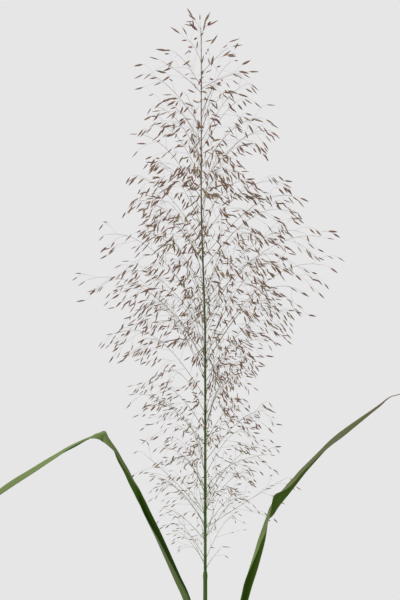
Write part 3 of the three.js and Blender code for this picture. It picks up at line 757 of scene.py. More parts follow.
def make_pot():
    """The clay pot, turned in one outline from the base up and over the rim to the inside."""
    bm = bmesh.new()
    lathe(
        bm,
        [
            (0, 0),
            (POT_BASE_RADIUS, 0),
            (mix(POT_BASE_RADIUS, POT_SHOULDER_RADIUS, 0.5), POT_SHOULDER / 2),
            (POT_SHOULDER_RADIUS, POT_SHOULDER),
            (POT_SHOULDER_RADIUS + POT_COLLAR_STEP, POT_SHOULDER + 1),
            (POT_RIM_RADIUS, POT_HEIGHT),
            (pot_inner_radius(POT_HEIGHT), POT_HEIGHT),
            (pot_inner_radius(POT_SHOULDER), POT_SHOULDER),
            (pot_inner_radius(POT_FLOOR), POT_FLOOR),
            (0, POT_FLOOR),
        ],
        POT_TURNS,
    )
    round_edges(bm, 20, POT_ROUNDING)
    pot = finish_piece(bm, "clay_pot", [CLAY], "pot_clay", "pot")
    cut_drains(pot)


# Soil


def soil_height(x, y):
    """The lumpy top of the soil, with finer lumps and a slight fall to the pot's wall."""
    lumps = math.sin(x / 7 + 1.3) * math.cos(y / 6) + 0.6 * math.sin((x + y) / 3.7)
    fine = noise.fractal(Vector((x, y, 0)) / 3.5, 1, 2, 5)
    return SOIL_TOP + SOIL_BUMP * (0.5 * lumps + 0.55 * fine)


def add_crumb(bm, seed):
    """One crumb: mostly peat, with some bark and pale grit."""
    distance = (pot_inner_radius(SOIL_TOP) - CRUMB_MARGIN) * math.sqrt(random(seed))
    angle = math.tau * random(seed + 1000)
    x = distance * math.cos(angle)
    y = distance * math.sin(angle)
    pick = random(seed + 2000)
    kind = next(i for i, row in enumerate(CRUMB_KINDS) if pick < row[0])
    _, smallest, largest, stretch = CRUMB_KINDS[kind]
    size = mix(smallest, largest, random(seed + 3000))
    turn = Matrix.Rotation(math.tau * random(seed + 4000), 4, "Z")
    tilt = Matrix.Rotation(CRUMB_TILT * spread(seed + 5000), 4, "X")
    form = Matrix.Diagonal((*(stretch * size), 1))
    place = Matrix.Translation((x, y, soil_height(x, y))) @ turn @ tilt @ form
    made = bmesh.ops.create_icosphere(bm, subdivisions=1, radius=1, matrix=place)
    for i, vert in enumerate(made["verts"]):
        shift = Vector((spread(seed + i), spread(seed - i), spread(seed + 7 * i)))
        vert.co += CRUMB_ROUGHNESS * size * shift
    for face in {face for vert in made["verts"] for face in vert.link_faces}:
        face.material_index = kind


def make_soil():
    """The soil from the pot's floor up, a gap away from the clay, with crumbs strewn on it."""
    edge = pot_inner_radius(SOIL_TOP) - GAP
    bottom = POT_FLOOR + GAP
    outline = [
        (0, bottom),
        (pot_inner_radius(bottom) - GAP, bottom),
        (pot_inner_radius(POT_SHOULDER) - GAP, POT_SHOULDER),
    ]
    outline += [(edge * (1 - i / SOIL_RINGS), SOIL_TOP) for i in range(SOIL_RINGS + 1)]
    bm = bmesh.new()
    lathe(bm, outline, SOIL_TURNS)
    for vert in bm.verts:
        if vert.co.z > SOIL_TOP - 1:
            vert.co.z = soil_height(vert.co.x, vert.co.y)
    for seed in range(CRUMB_COUNT):
        add_crumb(bm, seed)
    finish_piece(bm, "potting_soil", [SOIL, BARK, GRIT], "potting_soil", "soil")


# Main stem


def stem_x(height):
    """How far the stem's middle lies to the side. It is straight up to the middle of the head."""
    return LEAN * smooth_step(height, LEAN_START, LEAN_END)


def stem_radius(height):
    if height < HEAD_BASE:
        share = (height - SOIL_TOP) / (HEAD_BASE - SOIL_TOP)
        return mix(STEM_FOOT_RADIUS, STEM_NECK_RADIUS, share)
    return mix(STEM_HEAD_RADIUS, STEM_TIP_RADIUS, (height - HEAD_BASE) / (STEM_TOP - HEAD_BASE))


def make_stem(branches):
    """The culm, swollen at its joints and a little where each branch leaves it."""
    swells = [(joint, JOINT_HALF, JOINT_SWELL) for joint in JOINT_HEIGHTS]
    swells.append((HEAD_JOINT, JOINT_HALF, HEAD_JOINT_SWELL))
    swells += [(branch.height, BRANCH_SWELL_HALF, BRANCH_SWELL) for branch in branches[:-1]]
    heights = {STEM_FOOT, STEM_TOP, *range(SOIL_TOP + 2, int(STEM_TOP), STEM_STEP)}
    for middle, half, _ in swells:
        heights.update(middle + half * step / 2 for step in range(-2, 3))
    outline = [(0, STEM_FOOT)]
    for height in sorted(h for h in heights if h <= STEM_TOP):
        extra = sum(
            swell * math.cos(math.pi / 2 * clamp(abs(height - middle) / half)) ** 2
            for middle, half, swell in swells
        )
        outline.append((stem_radius(height) + min(extra, JOINT_SWELL), height))
    outline.append((0, STEM_TOP))
    bm = bmesh.new()
    lathe(bm, outline, STEM_TURNS)
    for vert in bm.verts:
        vert.co.x += stem_x(vert.co.z)
    finish_piece(bm, "grass_culm", [STEM], "culm", "culm")


# Leaves


def catmull_rom(rows, share):
    """The point at a share of the way along a smooth curve through the rows."""
    place = share * (len(rows) - 1)
    step = min(int(place), len(rows) - 2)
    t = place - step
    here = rows[step]
    there = rows[step + 1]
    before = rows[step - 1] if step > 0 else 2 * here - there
    after = rows[step + 2] if step + 2 < len(rows) else 2 * there - here
    leave = (there - before) / 2
    arrive = (after - here) / 2
    bend = 3 * (there - here) - 2 * leave - arrive
    turn = 2 * (here - there) + leave + arrive
    return here + leave * t + bend * t**2 + turn * t**3


def add_sheet(bm, surface, columns, rows, thickness):
    """A thin leaf-like sheet. surface(across, along) gives the place on its upper face, with
    across from -1 to 1 and along from 0 to 1, and the along value that its map holds."""
    layer = bm.loops.layers.uv.get("leaf") or bm.loops.layers.uv.new("leaf")
    made = bmesh.ops.create_grid(bm, x_segments=columns, y_segments=rows, size=1)
    faces = list(dict.fromkeys(face for vert in made["verts"] for face in vert.link_faces))
    marks = {vert: (-vert.co.x, (vert.co.y + 1) / 2) for vert in made["verts"]}
    mapped = {}
    for vert, (across, along) in marks.items():
        vert.co, mark = surface(across, along)
        mapped[vert] = ((across + 1) / 2, mark)
    for face in faces:
        for loop in face.loops:
            loop[layer].uv = mapped[loop.vert]
    bm.normal_update()
    before = set(bm.faces)
    bmesh.ops.solidify(bm, geom=faces, thickness=thickness)
    for face in set(bm.faces) - before:
        face.material_index = 1


# The stem's leaves, from the top down: the CAD node, the heights of the stem joint that the sheath
# starts from and of the collar where it ends, the side that the blade leaves to, how early the
# tip is dry, and the mesh's rows. A station is a place on the midrib, the width of the blade laid
# flat, how far the blade is rolled round its midrib and how far each half is folded up.
LEAVES = [
    {
        "node": "leaf_flag",
        "joint": JOINT_HEIGHTS[3],
        "collar": 419,
        "azimuth": 180,
        "dryness": 0.75,
        "rows": 220,
        "stations": [
            (-2, 0, 415, 5, 0, 50),
            (-7.6, -1, 437, 9.3, -4, 56),
            (-17.6, -2.2, 465.8, 12.5, -8, 59),
            (-24.4, -3.4, 481.1, 11.7, -16, 60),
            (-31.5, -4.6, 497.2, 11.4, -27, 58),
            (-38.7, -5.8, 513.3, 11.5, -40, 60),
            (-42.4, -6.4, 521.3, 11.8, -48, 60),
            (-46.2, -7, 529.3, 12.1, -55, 60),
            (-48.4, -7.5, 535.5, 11.4, -64, 60),
            (-49.8, -7.9, 541.8, 10.3, -80, 60),
            (-50.9, -8.2, 547.7, 10.3, -105, 58),
            (-52.4, -8.4, 553.6, 10.8, -128, 52),
            (-57.1, -8.8, 561.5, 9.8, -148, 43),
            (-61.1, -9.2, 569.5, 9.7, -157, 42),
            (-65.8, -9.8, 577.5, 9.3, -162, 43),
            (-70.3, -10.4, 585.5, 9.8, -176, 32),
            (-75.4, -10.9, 592.8, 10.4, -203, 33),
            (-78.3, -11.2, 596.7, 12.4, -220, 38),
            (-80.1, -11.4, 598.9, 13, -228, 40),
            (-82.2, -11.7, 598.7, 12.4, -224, 37),
            (-84.1, -12, 598.5, 11.6, -218, 34),
            (-87.8, -12.6, 597.8, 10.8, -200, 20),
            (-91.7, -13.2, 596.1, 10.4, -180, 16),
            (-95.7, -13.9, 594.6, 10.2, -175, 16),
            (-103.6, -15.5, 591.1, 10.2, -171, 24),
            (-111.4, -17.1, 587.1, 10.2, -174, 26),
            (-117.7, -18.5, 583.3, 10.2, -180, 30),
            (-127.1, -20.6, 577.9, 10.2, -185, 35),
            (-138.9, -23.2, 570.7, 10.2, -190, 40),
            (-150.6, -26.2, 563.8, 10, -196, 46),
            (-161.5, -29.2, 556.4, 9.8, -196, 46),
            (-189.2, -36, 535.6, 7, -196, 44),
            (-225.7, -46, 502.6, 1.2, -190, 20),
        ],
    },
    {
        "node": "leaf_2",
        "joint": JOINT_HEIGHTS[2],
        "collar": 322,
        "azimuth": 0,
        "dryness": 1,
        "rows": 240,
        "stations": [
            (2.2, 0, 318, 5, 0, 50),
            (5.6, -0.4, 338.1, 7.8, 20, 51),
            (9.4, -1.2, 361.2, 9.6, 50, 52),
            (14.8, -2.4, 393.3, 10.8, 80, 54),
            (22.2, -4, 432.5, 11.2, 96, 56),
            (30.3, -5.5, 466.3, 11.2, 101, 58),
            (32.6, -6, 479.9, 13, 113, 57),
            (35.1, -6.5, 489.9, 13.3, 126, 55),
            (39.9, -7.3, 505.6, 12.2, 147, 53),
            (42.2, -7.8, 513.6, 12.4, 158, 48),
            (45, -8.3, 521.6, 12.4, 174, 40),
            (47.8, -8.8, 529.6, 12.4, 178, 26),
            (49.6, -9.2, 534.5, 12.4, 164, 36),
            (51.2, -9.5, 539.3, 12.4, 150, 46),
            (54.2, -10, 544.1, 12.4, 138, 36),
            (57.7, -10.7, 548.9, 12.4, 127, 28),
            (61.6, -11.4, 553.7, 12.4, 138, 44),
            (65.6, -12.3, 558.6, 12.2, 150, 54),
            (70, -13.6, 563.4, 11.4, 157, 52),
            (75.6, -15.4, 569.9, 10.4, 160, 50),
            (81.9, -17.2, 576.3, 9, 163, 50),
            (91, -19.8, 585.6, 8.3, 172, 48),
            (98.8, -22, 593.6, 9, 190, 45),
            (106.8, -24.2, 600.4, 9, 212, 42),
            (115, -26.4, 605.9, 6.6, 222, 38),
            (122.8, -28.6, 611.6, 5.2, 220, 36),
            (130.4, -31, 617.2, 3.8, 216, 36),
            (138.1, -33.4, 623, 2.8, 212, 34),
            (142.4, -35, 626.6, 1.6, 208, 30),
            (146.6, -36.2, 629.1, 0.8, 204, 20),
            (149.9, -37.2, 629.9, 0.8, 200, 10),
            (153.3, -38, 630.9, 0.8, 200, 10),
            (161, -40, 631.8, 0.8, 200, 5),
        ],
    },
    {
        "node": "leaf_3",
        "joint": JOINT_HEIGHTS[1],
        "collar": 240,
        "azimuth": 180,
        "dryness": 1,
        "rows": 150,
        "stations": [
            (-2.3, 0, 236, 4.8, 0, 50),
            (-6, 0, 254, 6.4, -4, 46),
            (-11, 0, 274, 7, -10, 40),
            (-29, 1, 325, 7.4, -20, 32),
            (-58, 3, 378, 7.4, 10, 26),
            (-96, 5, 402, 7.4, 30, 20),
            (-140, 7, 396, 7, 20, 18),
            (-181, 9, 360, 6, -10, 14),
            (-212, 10, 306, 4, -25, 12),
            (-231, 11, 256, 1.2, -30, 8),
        ],
    },
    {
        "node": "leaf_4",
        "joint": JOINT_HEIGHTS[0],
        "collar": 184,
        "azimuth": 0,
        "dryness": 1.05,
        "rows": 150,
        "stations": [
            (2.4, 0, 180, 4.8, 0, 50),
            (6.4, 0, 196, 6, 5, 46),
            (12, 0, 215, 6.6, 15, 40),
            (30, -1, 262, 7, 25, 32),
            (56, -2, 306, 7, 5, 26),
            (92, -3, 326, 7, -25, 20),
            (132, -4, 318, 6.4, -20, 18),
            (166, -5, 284, 5.2, 10, 14),
            (192, -6, 226, 1.2, 25, 8),
        ],
    },
]


def folded_place(centre, along, level, width, roll, fold, across):
    """A place on a blade's cross-section, folded up along its midrib."""
    side = (level - along * level.dot(along)).normalized()
    side.rotate(Matrix.Rotation(math.radians(roll), 3, along))
    face = along.cross(side)
    softened = math.sqrt(across * across + MIDRIB_SOFTNESS) - math.sqrt(MIDRIB_SOFTNESS)
    out = across * width / 2 * math.cos(math.radians(fold))
    rise = softened * width / 2 * math.sin(math.radians(fold))
    return centre + side * out + face * (rise + BLADE_THICKNESS / 2)


def leaf_surface(leaf):
    """The whole leaf as one surface: the sheath wraps the stem, opens at the collar and goes
    over into the folded blade."""
    rows = []
    travelled = 0
    for station in leaf["stations"]:
        if rows:
            travelled += (Vector(station[:3]) - Vector(rows[-1][:3])).length
        rows.append(Vector((*station, travelled)))
    azimuth = math.radians(leaf["azimuth"])
    level = Vector((-math.sin(azimuth), math.cos(azimuth), 0))
    foot = leaf["joint"] + JOINT_HALF + GAP
    collar = leaf["collar"] - COLLAR_DEPTH
    sheath_share = SHEATH_ROWS / leaf["rows"]

    def wrapped(across, height, wrap):
        angle = azimuth + math.radians(wrap) * across
        overlap = SHEATH_OVERLAP * (across + 1) / 2 * wrap / SHEATH_WRAP
        radius = stem_radius(height) + GAP + SHEATH_PLAY + overlap
        return Vector((radius * math.cos(angle), radius * math.sin(angle), height))

    def surface(across, along):
        if along < sheath_share:
            part = along / sheath_share
            return wrapped(-across, mix(foot, collar, part), SHEATH_WRAP), part - 1
        part = (along - sheath_share) / (1 - sheath_share)
        row = catmull_rom(rows, part)
        step = BLADE_EASE / (len(rows) - 1)
        ahead = catmull_rom(rows, min(part + step, 1)) - catmull_rom(rows, max(part - step, 0))
        centre = Vector(row[:3])
        direction = Vector(ahead[:3]).normalized()
        folded = folded_place(centre, direction, level, row[3], row[4], row[5], across)
        mark = row[6] / travelled * leaf["dryness"]
        opening = smooth_step(centre.z, collar, collar + COLLAR_HEIGHT)
        if opening == 1:
            return folded, mark
        wrap = mix(SHEATH_WRAP, COLLAR_WRAP, opening)
        sleeve = wrapped(-across, max(centre.z, collar), wrap)
        return sleeve.lerp(folded, opening), mark

    return surface


def make_leaf(leaf):
    """A leaf of the main stem, its upper face and its under side in their own materials."""
    bm = bmesh.new()
    add_sheet(bm, leaf_surface(leaf), BLADE_COLUMNS, leaf["rows"], BLADE_THICKNESS)
    name = "grass_" + leaf["node"]
    finish_piece(bm, name, [LEAF_UPPER, LEAF_UNDER], "leaf_blade", leaf["node"])


# Young shoots


def arch_point(arch, share):
    """The way that an arching blade or branch takes from its root: x away from the stem, z up.
    It leaves at one angle over the horizontal and turns towards another, the later the faster."""
    point = Vector((0, arch.sway * arch.length * share * share, 0))
    for i in range(ARCH_SLICES):
        part = share * (i + 0.5) / ARCH_SLICES
        angle = math.radians(mix(arch.start_angle, arch.end_angle, part**arch.bend))
        point.x += math.cos(angle) * arch.length * share / ARCH_SLICES
        point.z += math.sin(angle) * arch.length * share / ARCH_SLICES
    return point


def arch_direction(arch, share):
    step = 0.01
    before = arch_point(arch, max(share - step, 0))
    return (arch_point(arch, min(share + step, 1)) - before).normalized()


def shoot_blade(number, top, i):
    """The plan of one blade of a shoot, the first the lowest and shortest."""
    seed = number * 10 + i + 1000
    sign = 1 if i % 2 else -1
    return SimpleNamespace(
        root=top - SHOOT_BLADE_STEP * (SHOOT_BLADES - i) + 6,
        turn=sign * mix(5, 19, random(seed)) * (i + 1) / SHOOT_BLADES,
        length=mix(190, 350, random(seed + 100)) * mix(0.66, 1, i / SHOOT_BLADES),
        start_angle=mix(74, 87, random(seed + 200)),
        end_angle=mix(-72, 12, random(seed + 300)),
        bend=mix(1.2, 2, random(seed + 350)),
        sway=0.06 * spread(seed + 400),
        width=mix(3.8, 5.4, random(seed + 500)),
    )


def shoot_surface(blade, foot, turn):
    """A narrow blade that clasps the stalk at its root and runs out to a point."""
    to_shoot = Matrix.Translation(foot) @ Matrix.Rotation(turn, 4, "Z")
    level = Vector((0, 1, 0))

    def surface(across, share):
        taper = min(0.45 + share * 4, 1) * (1 - share**2.4) + 0.04
        fold = mix(SHOOT_FOLD_ROOT, SHOOT_FOLD_TIP, min(share * 2, 1))
        place = folded_place(
            arch_point(blade, share),
            arch_direction(blade, share),
            level,
            blade.width * taper,
            0,
            fold,
            across,
        )
        return to_shoot @ place, share

    return surface


def make_shoot(number):
    """A stalk that stands in the soil beside the stem, with its blades."""
    angle = math.radians(360 / SHOOT_COUNT * (number + 0.5) + 7 * spread(number + 900))
    distance = mix(11, 19, random(number + 910))
    top = SOIL_TOP + mix(48, 74, random(number + 920))
    foot = Vector((distance * math.cos(angle), distance * math.sin(angle), 0))
    bm = bmesh.new()
    for i in range(SHOOT_BLADES):
        blade = shoot_blade(number, top, i)
        surface = shoot_surface(blade, foot + UP * blade.root, angle + math.radians(blade.turn))
        add_sheet(bm, surface, SHOOT_BLADE_COLUMNS, SHOOT_BLADE_ROWS, BLADE_THICKNESS)
    layer = bm.loops.layers.uv["leaf"]
    before = set(bm.faces)
    depth = top - STEM_FOOT
    bmesh.ops.create_cone(
        bm,
        cap_ends=True,
        segments=SHOOT_TURNS,
        radius1=SHOOT_RADIUS,
        radius2=SHOOT_RADIUS * SHOOT_NECK_SHARE,
        depth=depth,
        matrix=Matrix.Translation(foot + UP * (STEM_FOOT + depth / 2)),
    )
    for face in set(bm.faces) - before:
        face.material_index = 1
        for loop in face.loops:
            loop[layer].uv = (0.3, (loop.vert.co.z - top) / depth)
    name = f"young_shoot_{number + 1}"
    finish_piece(bm, name, [LEAF_UPPER, LEAF_UNDER], "leaf_blade", f"shoot_{number + 1}")


# Seed head. A share of 0 is its base and 1 its top.


def head_profile(height):
    """The usual length of a branch and distance between its spikelets at the height."""
    for low, high in zip(HEAD_PROFILE, HEAD_PROFILE[1:]):
        if height <= high.x:
            _, length, spacing = low.lerp(high, clamp((height - low.x) / (high.x - low.x)))
            return length, spacing
    return HEAD_PROFILE[-1].yz


def head_share(height):
    return (height - HEAD_BASE) / (HEAD_TOP - HEAD_BASE)


def usual_branch(height, azimuth, seed):
    """A branch as long as its height asks for. Those near the middle of the head droop most."""
    fullness = math.sin(math.pi * clamp(head_share(height)) ** 0.8)
    return SimpleNamespace(
        height=height,
        azimuth=azimuth,
        length=head_profile(height)[0] * (1 + 0.12 * spread(seed + 80)),
        start_angle=53 + 6 * spread(seed + 120),
        end_angle=mix(36, -14, fullness) + 11 * spread(seed + 160),
        bend=SPRAY_BEND,
        sway=0.1 * spread(seed + 200),
    )


def ruled_branch(number):
    """One of the branches that follow each other round the stem, closer together higher up."""
    order = (number + 0.5) / SPRAY_COUNT
    height = mix(SPRAY_LOWEST, HEAD_TOP, 1 - (1 - order) ** SPRAY_CROWDING)
    azimuth = GOLDEN_TURN * number + 12 * spread(number + 41) + 60
    return usual_branch(height, azimuth, number + 1)


# Branches that stand out from the rest, lowest first: height over the pot's base, azimuth
# (0 to the right, 180 to the left), length, angle over the horizontal at the root and at the
# tip, and how late the bend comes.
MARKED_BRANCHES = [
    (491, 8, 17, 62, 45, 1),
    (500, 176, 36, 60, 50, 1),
    (523, 10, 74, 33, 29, 1),
    (534, 184, 68, 51, 39, 1),
    (554, -8, 58, 70, 6, 0.6),
    (657, 185, 122, 58, -18, 2.2),
    (663, 6, 124, 53, -14, 3),
    (700, -7, 112, 46, -12, 2.8),
    (871, 175, 40, 48, 30, 1),
    (874, 6, 36, 34, 10, 1),
]


def marked_branch(height, azimuth, length, start_angle, end_angle, bend):
    """A branch with its own measures, which stays in one upright plane."""
    return SimpleNamespace(
        height=height,
        azimuth=azimuth,
        length=length,
        start_angle=start_angle,
        end_angle=end_angle,
        bend=bend,
        sway=0,
    )


def prepare(branch):
    """Adds what follows from the branch's height, and the lists that it grows into."""
    share = clamp(head_share(branch.height))
    branch.share = share
    branch.sag = TWIG_SAG * math.sin(math.pi * share**0.9)
    low_nod = mix(0.7, 1, smooth_step(share, 0, 0.25))
    branch.nod = low_nod * mix(1, 0.4, smooth_step(share, 0.72, 1))
    branch.spacing = head_profile(branch.height)[1]
    branch.rods = []
    branch.spikelets = []
    return branch


def branch_plans():
    """Every side branch from the lowest up, then the one that goes on where the stem ends."""
    plans = [marked_branch(*marked) for marked in MARKED_BRANCHES]
    plans += [ruled_branch(i) for i in range(SPRAY_COUNT)]
    plans.sort(key=lambda plan: plan.height)
    plans.append(marked_branch(STEM_TOP + GAP, 200, 6, 88, 70, 1))
    for number, plan in enumerate(plans, 1):
        plan.number = number
        plan.twigs_together = 2 if DENSE_LOW < plan.height < DENSE_HIGH else 1
        prepare(plan)
    return plans


def companions(branch):
    """The finer branches that leave the stem to both sides of a main one."""
    made = []
    if branch.height > SPARSE_ABOVE:
        return made
    for side in (-1, 1):
        seed = branch.number + 400 + 60 * side
        height = max(branch.height + 5 * spread(seed), HEAD_BASE + 1)
        azimuth = branch.azimuth + side * mix(90, 150, random(seed + 20))
        finer = usual_branch(height, azimuth, seed)
        finer.length *= mix(0.65, 1, random(seed + 30))
        finer.number = branch.number + 60 + 60 * (side + 1)
        finer.twigs_together = 1
        made.append(prepare(finer))
    return made


def spikelet_length(branch, seed):
    usual = SPIKELET_SHORTEST + SPIKELET_SPAN * branch.share**0.7
    return usual * (1 + 0.15 * spread(seed))


def square_to(direction):
    """A direction square to the given one, the same for like directions."""
    guide = UP if abs(direction.z) < 0.9 else Vector((1, 0, 0))
    return guide.cross(direction).normalized()


def leaning(along, lean, turn):
    """A direction that leans away from another by one angle, turned round it by the other."""
    across = square_to(along)
    over = along.cross(across)
    lean = math.radians(lean)
    turn = math.radians(turn)
    away = across * math.cos(turn) + over * math.sin(turn)
    return along * math.cos(lean) + away * math.sin(lean)


def drooping(direction, amount):
    return (direction - UP * amount).normalized()


def twig_point(root, direction, length, sag, share):
    """The place at a share of the way along a twig, which sags more the further out."""
    return root + direction * (length * share) - UP * (length * sag * share * share)


def hang_spikelet(branch, root, direction, seed):
    """A spikelet on its own hair-thin stalk, nodding away from the stem."""
    stalk = mix(STALK_SHORTEST, STALK_LONGEST, random(seed + 17))
    nodding = Vector((0.65, 0.6 * spread(seed + 29), 0.65 * spread(seed + 31) - 0.65))
    heading = direction.lerp(nodding, branch.nod * mix(0.6, 1, random(seed + 37))).normalized()
    knee = root + direction * (stalk * STALK_KNEE)
    end = knee + (direction + heading).normalized() * (stalk * (1 - STALK_KNEE))
    branch.rods.append([(place, STALK_RADIUS) for place in (root, knee, end)])
    branch.spikelets.append((end, heading, spikelet_length(branch, seed + 43), seed))


def grow_twig(branch, root, direction, length, seed):
    """A twig that sags to its tip and bears spikelets to both sides along its outer part. A long
    one has small twigs of its own in every other place of its inner part."""
    path = []
    for i in range(TWIG_STEPS + 1):
        share = i / TWIG_STEPS
        place = twig_point(root, direction, length, branch.sag, share)
        path.append((place, mix(TWIG_RADIUS, STALK_RADIUS, share)))
    branch.rods.append(path)
    count = nearest(length / branch.spacing)
    for i in range(count):
        share = mix(TWIG_BARE, BEARING_END, (i + 0.5) / count)
        here = twig_point(root, direction, length, branch.sag, share)
        tangent = drooping(direction, 2 * branch.sag * share)
        seed_here = seed + 97 * (i + 1)
        turn = 180 * i + 50 * spread(seed_here)
        heading = leaning(tangent, mix(28, 58, random(seed_here + 5)), turn)
        if length > FORKING_LENGTH and share < FORKING_UNDER and i % 2 == 0:
            fork = length * mix(0.3, 0.42, random(seed_here))
            grow_twig(branch, here, heading, fork, seed_here)
        else:
            hang_spikelet(branch, here, heading, seed_here)
    end = path[-1][0]
    hang_spikelet(branch, end, drooping(direction, 2 * branch.sag), seed)


def grow_branch(branch):
    """The branch with its twigs, one or two together at each place along it."""
    path = []
    for i in range(SPRAY_STEPS + 1):
        share = i / SPRAY_STEPS
        radius = mix(BRANCH_ROOT_RADIUS, BRANCH_TIP_RADIUS, share**0.7)
        path.append((arch_point(branch, share), radius))
    branch.rods.append(path)
    count = nearest(TWIGS_AT_LEAST + branch.length / TWIG_SPACING)
    together = branch.twigs_together
    for i in range(together * count):
        step, second = divmod(i, together)
        seed = branch.number * 50 + step + 2000 + 25000 * second
        order = (step + 0.5 + second / 2 + 0.3 * spread(seed)) / count
        start = mix(BRANCH_BARE, BEARING_END, clamp(order, 0, 0.99))
        usual = branch.length * mix(TWIG_SHARE_ROOT, TWIG_SHARE_TIP, start)
        length = usual * mix(0.75, 1.25, random(seed + 3000)) + TWIG_SHORTEST
        lean = TWIG_LEAN + 12 * spread(seed + 6000)
        turn = GOLDEN_TURN * step + 30 * spread(seed + 9000) + 90 + 180 * second
        heading = leaning(arch_direction(branch, start), lean, turn)
        grow_twig(branch, arch_point(branch, start), heading, length, seed)
    hang_spikelet(branch, path[-1][0], arch_direction(branch, 1), branch.number + 700)


def spikelet_mesh(kind):
    """A spikelet of length 1 that points up: pointed scales in two ranks, each over the next.
    The map holds the spikelet's tone and how far along its scale each point lies."""
    bm = bmesh.new()
    layer = bm.loops.layers.uv.new("scale")
    for i in range(SPIKELET_SCALES):
        rise = i / (SPIKELET_SCALES - 1)
        side = 1 if i % 2 else -1
        girth = math.sin(math.pi * mix(0.28, 0.86, rise))
        middle = mix(0, 1 - SCALE_LENGTH, rise) + SCALE_LENGTH / 2
        place = Matrix.Translation((side * SCALE_OFFSET * girth, 0, middle))
        lean = Matrix.Rotation(side * SCALE_LEAN * (1 - rise), 4, "Y")
        form = (SCALE_HALF_WIDTH * girth, SCALE_HALF_DEPTH * girth, SCALE_LENGTH / 2, 1)
        made = bmesh.ops.create_uvsphere(
            bm,
            u_segments=4,
            v_segments=2,
            radius=1,
            matrix=place @ lean @ Matrix.Diagonal(form),
        )
        top = max(vert.co.z for vert in made["verts"])
        low = min(vert.co.z for vert in made["verts"])
        tone = kind / (SPIKELET_KINDS - 1) * 0.8 + 0.2 * random(i + 3)
        for vert in made["verts"]:
            along = (vert.co.z - low) / (top - low)
            for loop in vert.link_loops:
                loop[layer].uv = (tone, along)
    for face in bm.faces:
        face.material_index = 1
    mesh = bpy.data.meshes.new(f"spikelet_{kind}")
    bm.to_mesh(mesh)
    bm.free()
    return mesh


def add_spikelet(bm, template, end, direction, length, seed):
    """A copy of the spikelet, pointed along the direction and turned round itself."""
    first = len(bm.verts)
    bm.from_mesh(template)
    bm.verts.ensure_lookup_table()
    turn = Matrix.Rotation(math.tau * random(seed + 71), 4, "Z")
    slim = mix(0.85, 1.15, random(seed + 83))
    size = Matrix.Diagonal((length * slim, length * slim, length, 1))
    point = direction.to_track_quat("Z", "Y").to_matrix().to_4x4()
    bmesh.ops.transform(
        bm, matrix=Matrix.Translation(end) @ point @ turn @ size, verts=bm.verts[first:]
    )


def branch_foot(branch):
    """Where the branch stands on the stem."""
    angle = math.radians(branch.azimuth)
    distance = 0 if branch.height > STEM_TOP else stem_radius(branch.height) - BRANCH_SET_IN
    x = stem_x(branch.height) + distance * math.cos(angle)
    return Vector((x, distance * math.sin(angle), branch.height))


def make_spray(main, templates):
    """A main branch and its companions, as one piece."""
    bm = bmesh.new()
    rods = []
    for branch in [main, *companions(main)]:
        grow_branch(branch)
        turn = Matrix.Rotation(math.radians(branch.azimuth), 4, "Z")
        place = Matrix.Translation(branch_foot(branch)) @ turn
        rods += [[(place @ point, radius) for point, radius in rod] for rod in branch.rods]
        for end, heading, length, seed in branch.spikelets:
            template = templates[int(SPIKELET_KINDS * random(seed + 53))]
            add_spikelet(bm, template, place @ end, turn @ heading, length, seed)
    add_rods(bm, rods)
    name = f"head_spray_{main.number:02d}"
    finish_piece(bm, name, [TWIG, SPIKELET], "seed_head", f"spray_{main.number:02d}")


# Studio


def make_floor():
    """A plain pale floor whose edge fades out."""
    bm = bmesh.new()
    bmesh.ops.create_circle(bm, cap_ends=True, segments=96, radius=FLOOR_RADIUS)
    mesh = bpy.data.meshes.new("studio_floor")
    bm.to_mesh(mesh)
    bm.free()
    material = bpy.data.materials.new("studio_floor")
    material.use_nodes = True
    tree = material.node_tree
    shader = tree.nodes["Principled BSDF"]
    shader.inputs["Base Color"].default_value = colour(222, 221, 220)
    shader.inputs["Roughness"].default_value = 0.9
    reach = add_node(tree, "VectorMath", {"operation": "LENGTH"})
    feed(tree, reach.inputs[0], object_place(tree))
    distance = socket(reach.outputs, "Value")
    shown = between(tree, distance, FLOOR_FADE_START, FLOOR_FADE_END, to_low=1.0, to_high=0.0)
    feed(tree, shader.inputs["Alpha"], shown)
    mesh.materials.append(material)
    floor = bpy.data.objects.new("studio_floor", mesh)
    bpy.context.scene.collection.objects.link(floor)


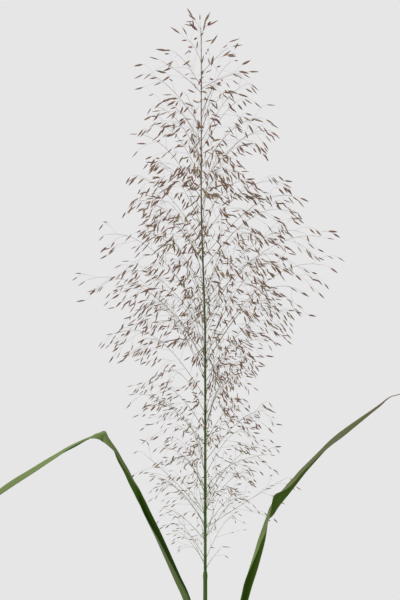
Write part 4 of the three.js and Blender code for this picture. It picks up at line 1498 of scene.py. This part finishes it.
def make_air():
    """Pale surroundings that light the object evenly."""
    world = bpy.data.worlds.new("studio")
    world.use_nodes = True
    bpy.context.scene.world = world
    tree = world.node_tree
    seen = add_node(tree, "Background", Color=colour(231, 230, 231), Strength=1.0)
    lit = add_node(tree, "Background", Color=(1, 1, 1, 1), Strength=AIR_LIGHT)
    path = tree.nodes.new("ShaderNodeLightPath")
    both = tree.nodes.new("ShaderNodeMixShader")
    feed(tree, both.inputs[0], socket(path.outputs, "Is Camera Ray"))
    feed(tree, both.inputs[1], lit.outputs[0])
    feed(tree, both.inputs[2], seen.outputs[0])
    tree.links.new(both.outputs[0], tree.nodes["World Output"].inputs["Surface"])


def add_light(name, place, size, power):
    """A square soft light at a place, turned to the object's middle."""
    data = bpy.data.lights.new(name, "AREA")
    data.size = size
    data.energy = power
    light = bpy.data.objects.new(name, data)
    light.location = place
    light.rotation_euler = (LIGHT_TARGET - Vector(place)).to_track_quat("-Z", "Y").to_euler()
    bpy.context.scene.collection.objects.link(light)


def make_camera():
    """A long lens straight ahead of the seed head, level with it."""
    data = bpy.data.cameras.new("camera")
    data.sensor_width = SENSOR
    data.lens = SENSOR * VIEW_DISTANCE / VIEW_HEIGHT
    data.clip_end = 100
    camera = bpy.data.objects.new("camera", data)
    camera.location = (VIEW_MIDDLE - Vector((0, VIEW_DISTANCE, 0))) * MM
    camera.rotation_euler = (math.radians(90), 0, 0)
    bpy.context.scene.collection.objects.link(camera)
    bpy.context.scene.camera = camera


make_camera()
make_air()
make_floor()
add_light("key_light", place=(-2.9, -1.3, 4.0), size=1.3, power=170)
add_light("fill_light", place=(2.2, -1.8, 1.2), size=1.6, power=10)
bpy.context.scene.view_settings.view_transform = "Standard"

all_branches = branch_plans()
make_pot()
make_soil()
make_stem(all_branches)
for grass_leaf in LEAVES:
    make_leaf(grass_leaf)
for shoot_number in range(SHOOT_COUNT):
    make_shoot(shoot_number)
spikelets = [spikelet_mesh(kind) for kind in range(SPIKELET_KINDS)]
for grass_branch in all_branches:
    make_spray(grass_branch, spikelets)
for spikelet in spikelets:
    bpy.data.meshes.remove(spikelet)
